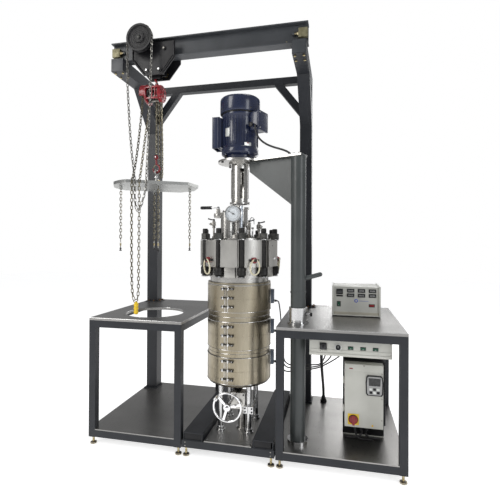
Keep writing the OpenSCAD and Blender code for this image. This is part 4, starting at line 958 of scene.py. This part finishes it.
lever = Piece("main_valve_grip", "black_plastic").move(about(PX, PY))
lever.box((-132, -10, 1716.6), (-64, 10, 1721.6), 1.5, "bright_steel")
sleeve = [(0, 0), (9, 0), (12, 3), (12, 40), (11, 44), (12, 48), (12, 80), (9, 88), (0, 90)]
lever.lathe((-128, 0, 1721), LEFT, sleeve, 28)
lever.hexagon((-78, 0, 1721.4), UP, 9, 7, "bright_steel")
lever.make("main_lever", "black_plastic", "main_valve_lever")
for name, (p, angle, lever_angle) in SMALL_VALVES.items():
    arm = Piece(name + "_valve_grip", "black_plastic")
    arm.move(about(p[0], p[1], p[2] + 40.4, lever_angle))
    arm.rod((0, 0, 0), UP, 8, 10, 1.5, 24)
    arm.tube([(0, 0, 5), (14, 0, 6), (28, 0, 9), (44, 0, 14)], [5, 4.4, 4.4, 5.2], 12)
    arm.hexagon((0, 0, 9.6), UP, 4.5, 3, "bright_steel")
    arm.make(name + "_lever", "black_plastic", name + "_valve_lever")

GX, GY, GZ = 1023, 206, 1668
gauge = Piece("gauge_dial", "gauge_steel").move(about(GX, GY, GZ))
bezel = [(61, 30), (61, 37), (58.5, 40), (54.5, 40), (53.4, 36), (53.4, 25), (0, 25)]
gauge.lathe((0, 14, 0), FRONT, [(0, 0), (52, 0), (58, 4), (58, 28)] + bezel, 64)
gauge.rod((0, -11, 0), FRONT, 53, 1.2, 0.4, 64, "dial_white")
for k in range(31):
    long = 8 if k % 5 == 0 else 4
    gauge.move(turned(GX, GY - 12.4, GZ, 9 * k - 225))
    gauge.box((48 - long, -0.5, -0.7), (48, 0.3, 0.7), 0, "pointer_black")
gauge.move(about(GX, GY, GZ))
gauge.torus((0, -12.2, 0), FRONT, 37, 0.5, 64, 6, "pointer_black")
gauge.rod((0, -12, 0), FRONT, 2, 6, 0.4, 16, "pointer_black")
gauge.hexagon((0, 14, -10), REAR, 15, 14, "dark_steel")
gauge.make("lift", "gauge_steel", "gauge_case")

guard = Piece("drive_trim", "machined_steel").move(at_axis())
guard.torus((0, 0, 1757), UP, 63, 1.8, 48, 8)
# Bolt circles: count, radius, first angle, height, which way, head radius and thickness
for count, r, first, z, way, size, thick in ((6, 68.5, 10, 1756, UP, 5.4, 6),
                                             (6, 74, 10, ARM_Z - 12, DOWN, 6, 7),
                                             (4, 148, 45, ARM_Z, DOWN, 9, 8)):
    for x, y in circle(count, r, first):
        guard.hexagon((x, y, z), way, size, thick, "black_oxide")
for k in range(4):
    # Rolled edges of the four long slots
    guard.move(at_axis(STUD_A0 + 12 + 90 * k))
    for y in (-19.5, 19.5):
        guard.tube([(59, y, 1788), (59, y, 2004)], 3.4, 8)
guard.make("swing")


# ---------- motor and swing arm ----------

motor = Piece("motor_shell", "motor_blue")
motor.move(at_axis())
motor.lathe((0, 0, 0), UP, [
    (42, 2066), (104, 2066), (108, 2069), (112, 2076), (114, 2096), (134, 2110), (137, 2116),
    (137, 2150), (134, 2154), (131, 2158), (131, 2384), (134, 2388), (134, 2402), (126, 2406),
    (126, 2411), (146, 2411), (148.5, 2415), (148.5, 2508), (146, 2518), (138, 2526), (124, 2531),
    (0, 2531)], 72)
motor.lathe((0, 0, 0), UP, [(125, 2404), (140, 2405), (140, 2409), (125, 2410)], 60, "pointer_black")
for k in range(36):
    # Cast cooling fins of the shell, left out where the boxes sit
    a = 10 * k
    if min(abs(a - 340), abs(a - 180)) < 26:
        continue
    motor.move(at_axis(a))
    motor.box((129, -1.6, 2170), (135.6, 1.6, 2376), 1)
for k in range(4):
    motor.move(at_axis(45 + 90 * k))
    motor.box((104, -14, 2096), (139, 14, 2124), 5)
    motor.hexagon((124, 0, 2096), DOWN, 9, 10, "black_oxide")
    motor.rod((148.2, 0, 2430), RIGHT, 5, 2, 0.8, 14, "nut_grey")
motor.move(at_axis())
for r in (30, 60, 90, 118):
    motor.torus((0, 0, 2531), UP, r, 1.6, 60, 6)
motor.move(at_axis(-20))
motor.box((122, -62, 2268), (198, 62, 2402), 14)
motor.box((186, -66, 2264), (204, 66, 2406), 8)
for y in (-52, 52):
    for z in (2280, 2390):
        motor.rod((203.4, y, z), RIGHT, 5, 2.6, 1, 14, "bright_steel")
motor.rod((150, -84, 2300), REAR, 15, 24, 2, 24)
motor.hexagon((150, -92, 2300), REAR, 17, 12, "black_oxide")
motor.move(at_axis(180))
motor.box((126, -60, 2166), (152, 60, 2386), 6)
motor.box((150, -64, 2160), (156, 64, 2392), 1.5)
for y in (-62, 56):
    motor.box((140, y, 2160), (198, y + 6, 2392), 1.5)
motor.box((192, -64, 2160), (198, 64, 2392), 1.5)
for z in (2180, 2226, 2276, 2326, 2372):
    motor.rod((172, -61.6, z), FRONT, 6.5, 1.4, 0.4, 16, "pointer_black")
motor.move(at_axis(-118))
motor.box((131, -18, 2228), (137, 18, 2288), 1, "blank_plate")
motor.move(at_axis(-52))
motor.box((131, -26, 2156), (137.4, 26, 2180), 1, "blank_plate")
motor.box((137.2, -8, 2172), (137.8, 8, 2178), 0.2, "red_paint")
motor.make("swing", "motor_blue", "motor")

arm_a = math.degrees(math.atan2(LINE_Y - SWING_Y, AXIS_X - SWING_X))
reach = math.hypot(SWING_X - AXIS_X, LINE_Y - SWING_Y)
arm = Piece("arm_details", "post_paint")
arm.move(about(SWING_X, SWING_Y, 0, arm_a))
for y in (-6, 6):
    arm.tube([(50, y, 2047), (reach - 90, y, 2047)], 3, 8)
    arm.tube([(51, y, 1724), (51, y, 2046)], 3, 8)
for x in (-18, 20):
    for y in (-32, 32):
        arm.hexagon((x, y, 2064), UP, 9, 8, "nut_grey")
arm.box((-42, -52, 2050.4), (-39.6, 52, 2063.6), 0.5)
arm.move()
arm.torus((SWING_X, SWING_Y, 2046), UP, 51, 2.4, 48, 8)
arm.ring((SWING_X, SWING_Y, 1119), UP, 53.4, 50.9, 14, 1, 48, "post_paint")
arm.rod((1430, 166, 2064), UP, 12, 10, 2, 24, "black_plastic")
arm.make("swing", "post_paint")

shaft = Piece("coupling_screws", "black_oxide")
for k in range(3):
    shaft.move(at_axis(120 * k))
    for z in (1908, 1960):
        shaft.rod((30.5, 0, z), RIGHT, 4, 2.5, 0.6, 12)
    shaft.rod((29, 0, 1758), RIGHT, 4, 2, 0.6, 12)
shaft.move()
shaft.torus((AXIS_X, LINE_Y, 1935), UP, 32, 1.5, 36, 6)
shaft.make("motor_shaft", "dark_steel")


# ---------- instrument case ----------

# Lower left front corner of the case
CX, CY, CZ = 1715, 505, 926
case = Piece("controller_front", "cream_case").move(about(CX, CY, CZ))
for x in (-1, 335):
    case.box((x, -14, -6), (x + 13, 281, 215), 4)
case.box((11, -4, 205), (336, 278, 210), 2)
case.box((11, -6, 2), (336, 1, 22), 2, "tan_strip")
case.box((11, -10, -5), (336, 4, 3), 2)
for col in range(4):
    x = 30 + 78 * col
    if col == 0:
        case.box((x, -5, 153), (x + 48, 1, 194), 2, "black_plastic")
        case.box((x + 4, -5.6, 159), (x + 44, -4, 188), 0.6, "display")
        case.box((x, -4, 136), (x + 48, 1, 147), 1.5, "black_plastic")
        continue
    for z in (168, 133):
        case.box((x, -5, z), (x + 52, 1, z + 27), 2, "black_plastic")
        case.box((x + 4, -5.8, z + 4), (x + 48, -4, z + 23), 0.6, "display")
        for k in range(4):
            bx = x + 9 + 9 * k
            case.box((bx, -6.1, z + 8), (bx + 6, -5.5, z + 19), 0.2, "keypad_grey")
            for low, high in ((9.5, 12.6), (14.2, 17.4)):
                case.box((bx + 1.5, -6.3, z + low), (bx + 4.5, -5.9, z + high), 0.1, "display")
# Plain round badge with a plain line beside it
case.rod((174, 0, 107), FRONT, 13, 1.2, 0.4, 36, "badge_blue")
case.rod((174, -1, 107), FRONT, 7.5, 0.8, 0.3, 28, "cream_case")
case.box((192, -1, 105), (262, 0.4, 107), 0.3, "badge_blue")
# Open surrounds of the rocker and the push button: x, z, width, height of each opening
for x, z, w, h in ((37.6, 65.4, 20.8, 31.2), (268, 67, 34, 14)):
    for x0, z0, x1, z1 in ((x - 4, z - 4, x, z + h + 4), (x + w, z - 4, x + w + 4, z + h + 4),
                           (x, z - 4, x + w, z), (x, z + h, x + w, z + h + 4)):
        case.box((x0, -2.2, z0), (x1, 1, z1), 0.6, "black_plastic")
for x in (26, 321):
    for y in (26, 254):
        case.lathe((x, y, -12), UP, [(0, 0), (12, 0), (13.5, 3), (12, 12), (0, 12)], 24, "black_plastic")
# Rows of cooling louvres on both sides, and a plate with three sockets on the back
for k in range(9):
    z = 50 + 16 * k
    for x in (-1.6, 348):
        case.box((x, 60, z), (x + 0.6, 220, z + 6), 0.2, "black_plastic")
case.box((40, 280, 40), (300, 282.4, 190), 1, "tan_strip")
for k in range(3):
    case.ring((90 + 80 * k, 282, 80), REAR, 17, 11, 5, 1, 28, "black_plastic")
case.make("stand", "cream_case")


# ---------- power panel ----------

PXL, PYF, PZ = 1577, 60, 737
KNOB_X, SWITCH_Z = 1759, 792
ROCKER_XS = (1836, 1913, 1988)
power = Piece("power_panel_front", "cream_case").move(about(PXL, PYF, PZ))
power.box((-1, -5, -1), (511, 1, 16), 2)
power.box((-1, -3, 36), (511, 0.6, 39), 1)
power.box((0, -3, 108), (510, 0.6, 158), 1.5, "tan_strip")
for x in (8, 502):
    for z in (26, 92):
        power.rod((x, 0, z), FRONT, 3.6, 1.6, 0.6, 14, "dark_steel")
power.box((66, -9, 36), (110, 1, 80), 3, "black_plastic")
power.box((72, -10, 42), (104, -8, 74), 2, "display")
power.box((80, -14, 50), (96, -9, 66), 3, "black_plastic")
power.move()
power.ring((KNOB_X, PYF, SWITCH_Z), FRONT, 22, 16, 1.2, 0.4, 40, "blank_plate")
for k in range(11):
    power.move(turned(KNOB_X, PYF - 1.6, SWITCH_Z, 405 - 27 * k))
    power.box((17.5, -0.4, -0.6), (21, 0.2, 0.6), 0, "pointer_black")
power.move()
for x in ROCKER_XS:
    power.box((x - 17, PYF - 2.4, 781), (x + 17, PYF + 0.6, 803), 1.2, "black_plastic")
for x in (PXL + 70, PXL + 84, PXL + 98, PXL + 112):
    power.rod((x, PYF - 0.2, PZ + 28), FRONT, 2.4, 1.6, 0.5, 12, "dark_steel")
for x, y in ((1815, 225), (1730, 250), (1680, 245), (1645, 258)):
    r = 18 if x == 1645 else 11
    power.hexagon((x, y, PZ), DOWN, r + 3, 8, "black_plastic")
    power.lathe((x, y, PZ - 8), DOWN, [(0, 0), (r, 0), (r, 8), (r * 0.72, 18), (0, 18)], 24,
                "black_plastic")
power.hexagon((1640, 890, 131), UP, 21, 10, "black_plastic")
power.lathe((1640, 890, 141), UP, [(0, 0), (18, 0), (17, 8), (12.5, 26), (0, 26)], 24, "black_plastic")
power.ring((1640, 890, 113.4), UP, 26, 12, 17, 2, 28, "black_plastic")
power.make("stand", "cream_case")

knob = Piece("speed_knob_cap", "black_plastic")
for k in range(18):
    knob.move(turned(KNOB_X, PYF, SWITCH_Z, 20 * k))
    knob.box((14.2, -14, -1.2), (15.8, -3, 1.2), 0.5)
knob.move()
knob.rod((KNOB_X, PYF - 16, SWITCH_Z), FRONT, 9, 1.4, 0.5, 28)
knob.box((KNOB_X - 1, PYF - 18.2, SWITCH_Z + 2), (KNOB_X + 1, PYF - 16.6, SWITCH_Z + 13), 0.3, "blank_plate")
knob.make("knob", "black_plastic")
for i, x in enumerate(ROCKER_XS):
    dot = Piece("rocker_mark_%d" % (i + 1), "green_rocker")
    dot.box((x - 10, PYF - 4.9, 792), (x + 10, PYF - 3.8, 798), 0.5)
    dot.box((x - 3, PYF - 4.7, 787), (x + 3, PYF - 3.8, 788.6), 0.2, "blank_plate")
    dot.make("rocker_%d" % (i + 1), "green_rocker")
dot = Piece("controller_rocker_mark", "green_rocker").move(about(CX, CY, CZ))
dot.box((41, -3.9, 82), (55, -2.8, 92), 0.5)
dot.box((47.2, -3.7, 70), (48.8, -2.8, 77), 0.2, "blank_plate")
dot.make("case_rocker", "green_rocker")
cap = Piece("controller_button_cap", "red_plastic").move(about(CX, CY, CZ))
cap.box((270, -6.4, 69), (300, -4.4, 79), 0.8)
cap.make("button", "red_plastic")


# ---------- drive cabinet ----------

BX, BY, BZ = 1803, 190, 236
door = Piece("door_front", "cream_case").move(about(BX, BY, BZ))
door.box((0.5, -1.2, 0.5), (246.5, 3, 419.5), 3)
door.box((1, -3, 374), (246, 0.4, 418), 2.4)
pad = [(-46, -64), (46, -64), (54, -52), (56, 20), (52, 60), (42, 68), (-42, 68), (-52, 60),
       (-56, 20), (-54, -52)]
door.move(about(BX + 190, BY, BZ + 284, 0, Matrix.Rotation(math.radians(90), 4, "X")))
door.prism(pad, 0.5, 9, "black_plastic")
door.prism([(0.86 * x, 0.9 * y) for x, y in pad], 8, 11, "keypad_grey")
door.prism([(-36, 2), (36, 2), (38, 52), (-38, 52)], 10.5, 12, "display")
for row in range(2):
    for col in range(3):
        door.box((-32 + 23 * col, -50 + 22 * row, 10.6), (-14 + 23 * col, -34 + 22 * row, 13), 2,
                 "blank_plate" if (row + col) % 2 else "black_plastic")
door.move(about(BX, BY, BZ))
door.box((20, -3.4, 16), (92, -0.4, 88), 1, "yellow")
door.ring((56, -3, 52), FRONT, 31, 26.5, 4, 1, 40, "black_plastic")
for z in (26, 78):
    for x in (27, 85):
        door.rod((x, -3, z), FRONT, 2.4, 1.2, 0.4, 12, "dark_steel")
door.rod((124, -0.6, 410), FRONT, 6, 4, 1, 18, "dark_steel")
door.box((30, -3.8, 386), (52, -2.4, 393), 0.3, "red_paint")
door.rod((178, -0.6, 20), FRONT, 6, 3, 1, 18, "yellow")
for z in (60, 200, 362):
    door.rod((237, -1, z), FRONT, 5, 3, 1, 16, "dark_steel")
door.make("door", "cream_case")

cabinet = Piece("cabinet_details", "cream_case").move(about(BX, BY, BZ))
for z in (96, 284):
    cabinet.rod((-7, 15, z - 3), UP, 5, 3, 0.8, 16, "dark_steel")
    cabinet.rod((-7, 15, z + 40), UP, 5, 3, 0.8, 16, "dark_steel")
# Black mounting plate behind the cabinet, and painted shade for the gap above it
cabinet.box((-10.4, 159.6, 119 - BZ), (267.4, 166.4, 736.6 - BZ), 1, "black_paint")
# Painted shade: this thin black slab on the cabinet's top stands for the shaded gap above it
cabinet.box((-10, 60, 420), (267, 160, 426), 1, "black_paint")
cabinet.box((249, 60, 0), (267, 160, 420), 2, "black_paint")
for x in (70, 110, 150):
    cabinet.hexagon((x, 90, -26), UP, 14, 12, "black_plastic")
runs = [
    [(70, 206), (70, 190), (74, 160), (86, 134), (110, 122), (150, 121), (186, 121)],
    [(110, 206), (110, 186), (118, 158), (96, 132), (60, 121.5), (30, 120.5), (10, 120.5)],
    [(150, 206), (150, 188), (142, 162), (150, 136), (176, 123), (210, 121), (236, 121)],
]
for i, run in enumerate(runs):
    points = [(x, 90 if k < 2 else 90 + 12 * i, z - BZ) for k, (x, z) in enumerate(run)]
    cabinet.tube(smooth(points, 4), 7, 10, False, "black_cable")
cabinet.make("stand", "cream_case")

switch = Piece("disconnect_grip", "red_plastic").move(about(BX, BY, BZ))
switch.lathe((56, -14, 52), FRONT, [(27, 0), (27, 3), (24, 6), (14, 8), (0, 8)], 40)
switch.box((48, -31, 24), (64, -15, 80), 4)
for k in range(12):
    switch.move(turned(BX + 56, BY, BZ + 52, 30 * k))
    switch.box((25, -13, -3), (27.6, -3, 3), 1)
switch.make("disconnect", "red_plastic")


# ---------- floor ----------

mesh = bpy.data.meshes.new("floor")
mesh.from_pydata([(-14, -14, -0.001), (14, -14, -0.001), (14, 14, -0.001), (-14, 14, -0.001)], [],
                 [(0, 1, 2, 3)])
mesh.materials.append(M["floor"])
floor_shader = M["floor"].node_tree.nodes["Principled BSDF"]
floor_shader.inputs["Emission Color"].default_value = (1, 1, 1, 1)
floor_shader.inputs["Emission Strength"].default_value = 0.68
floor = bpy.data.objects.new("floor", mesh)
scene.collection.objects.link(floor)
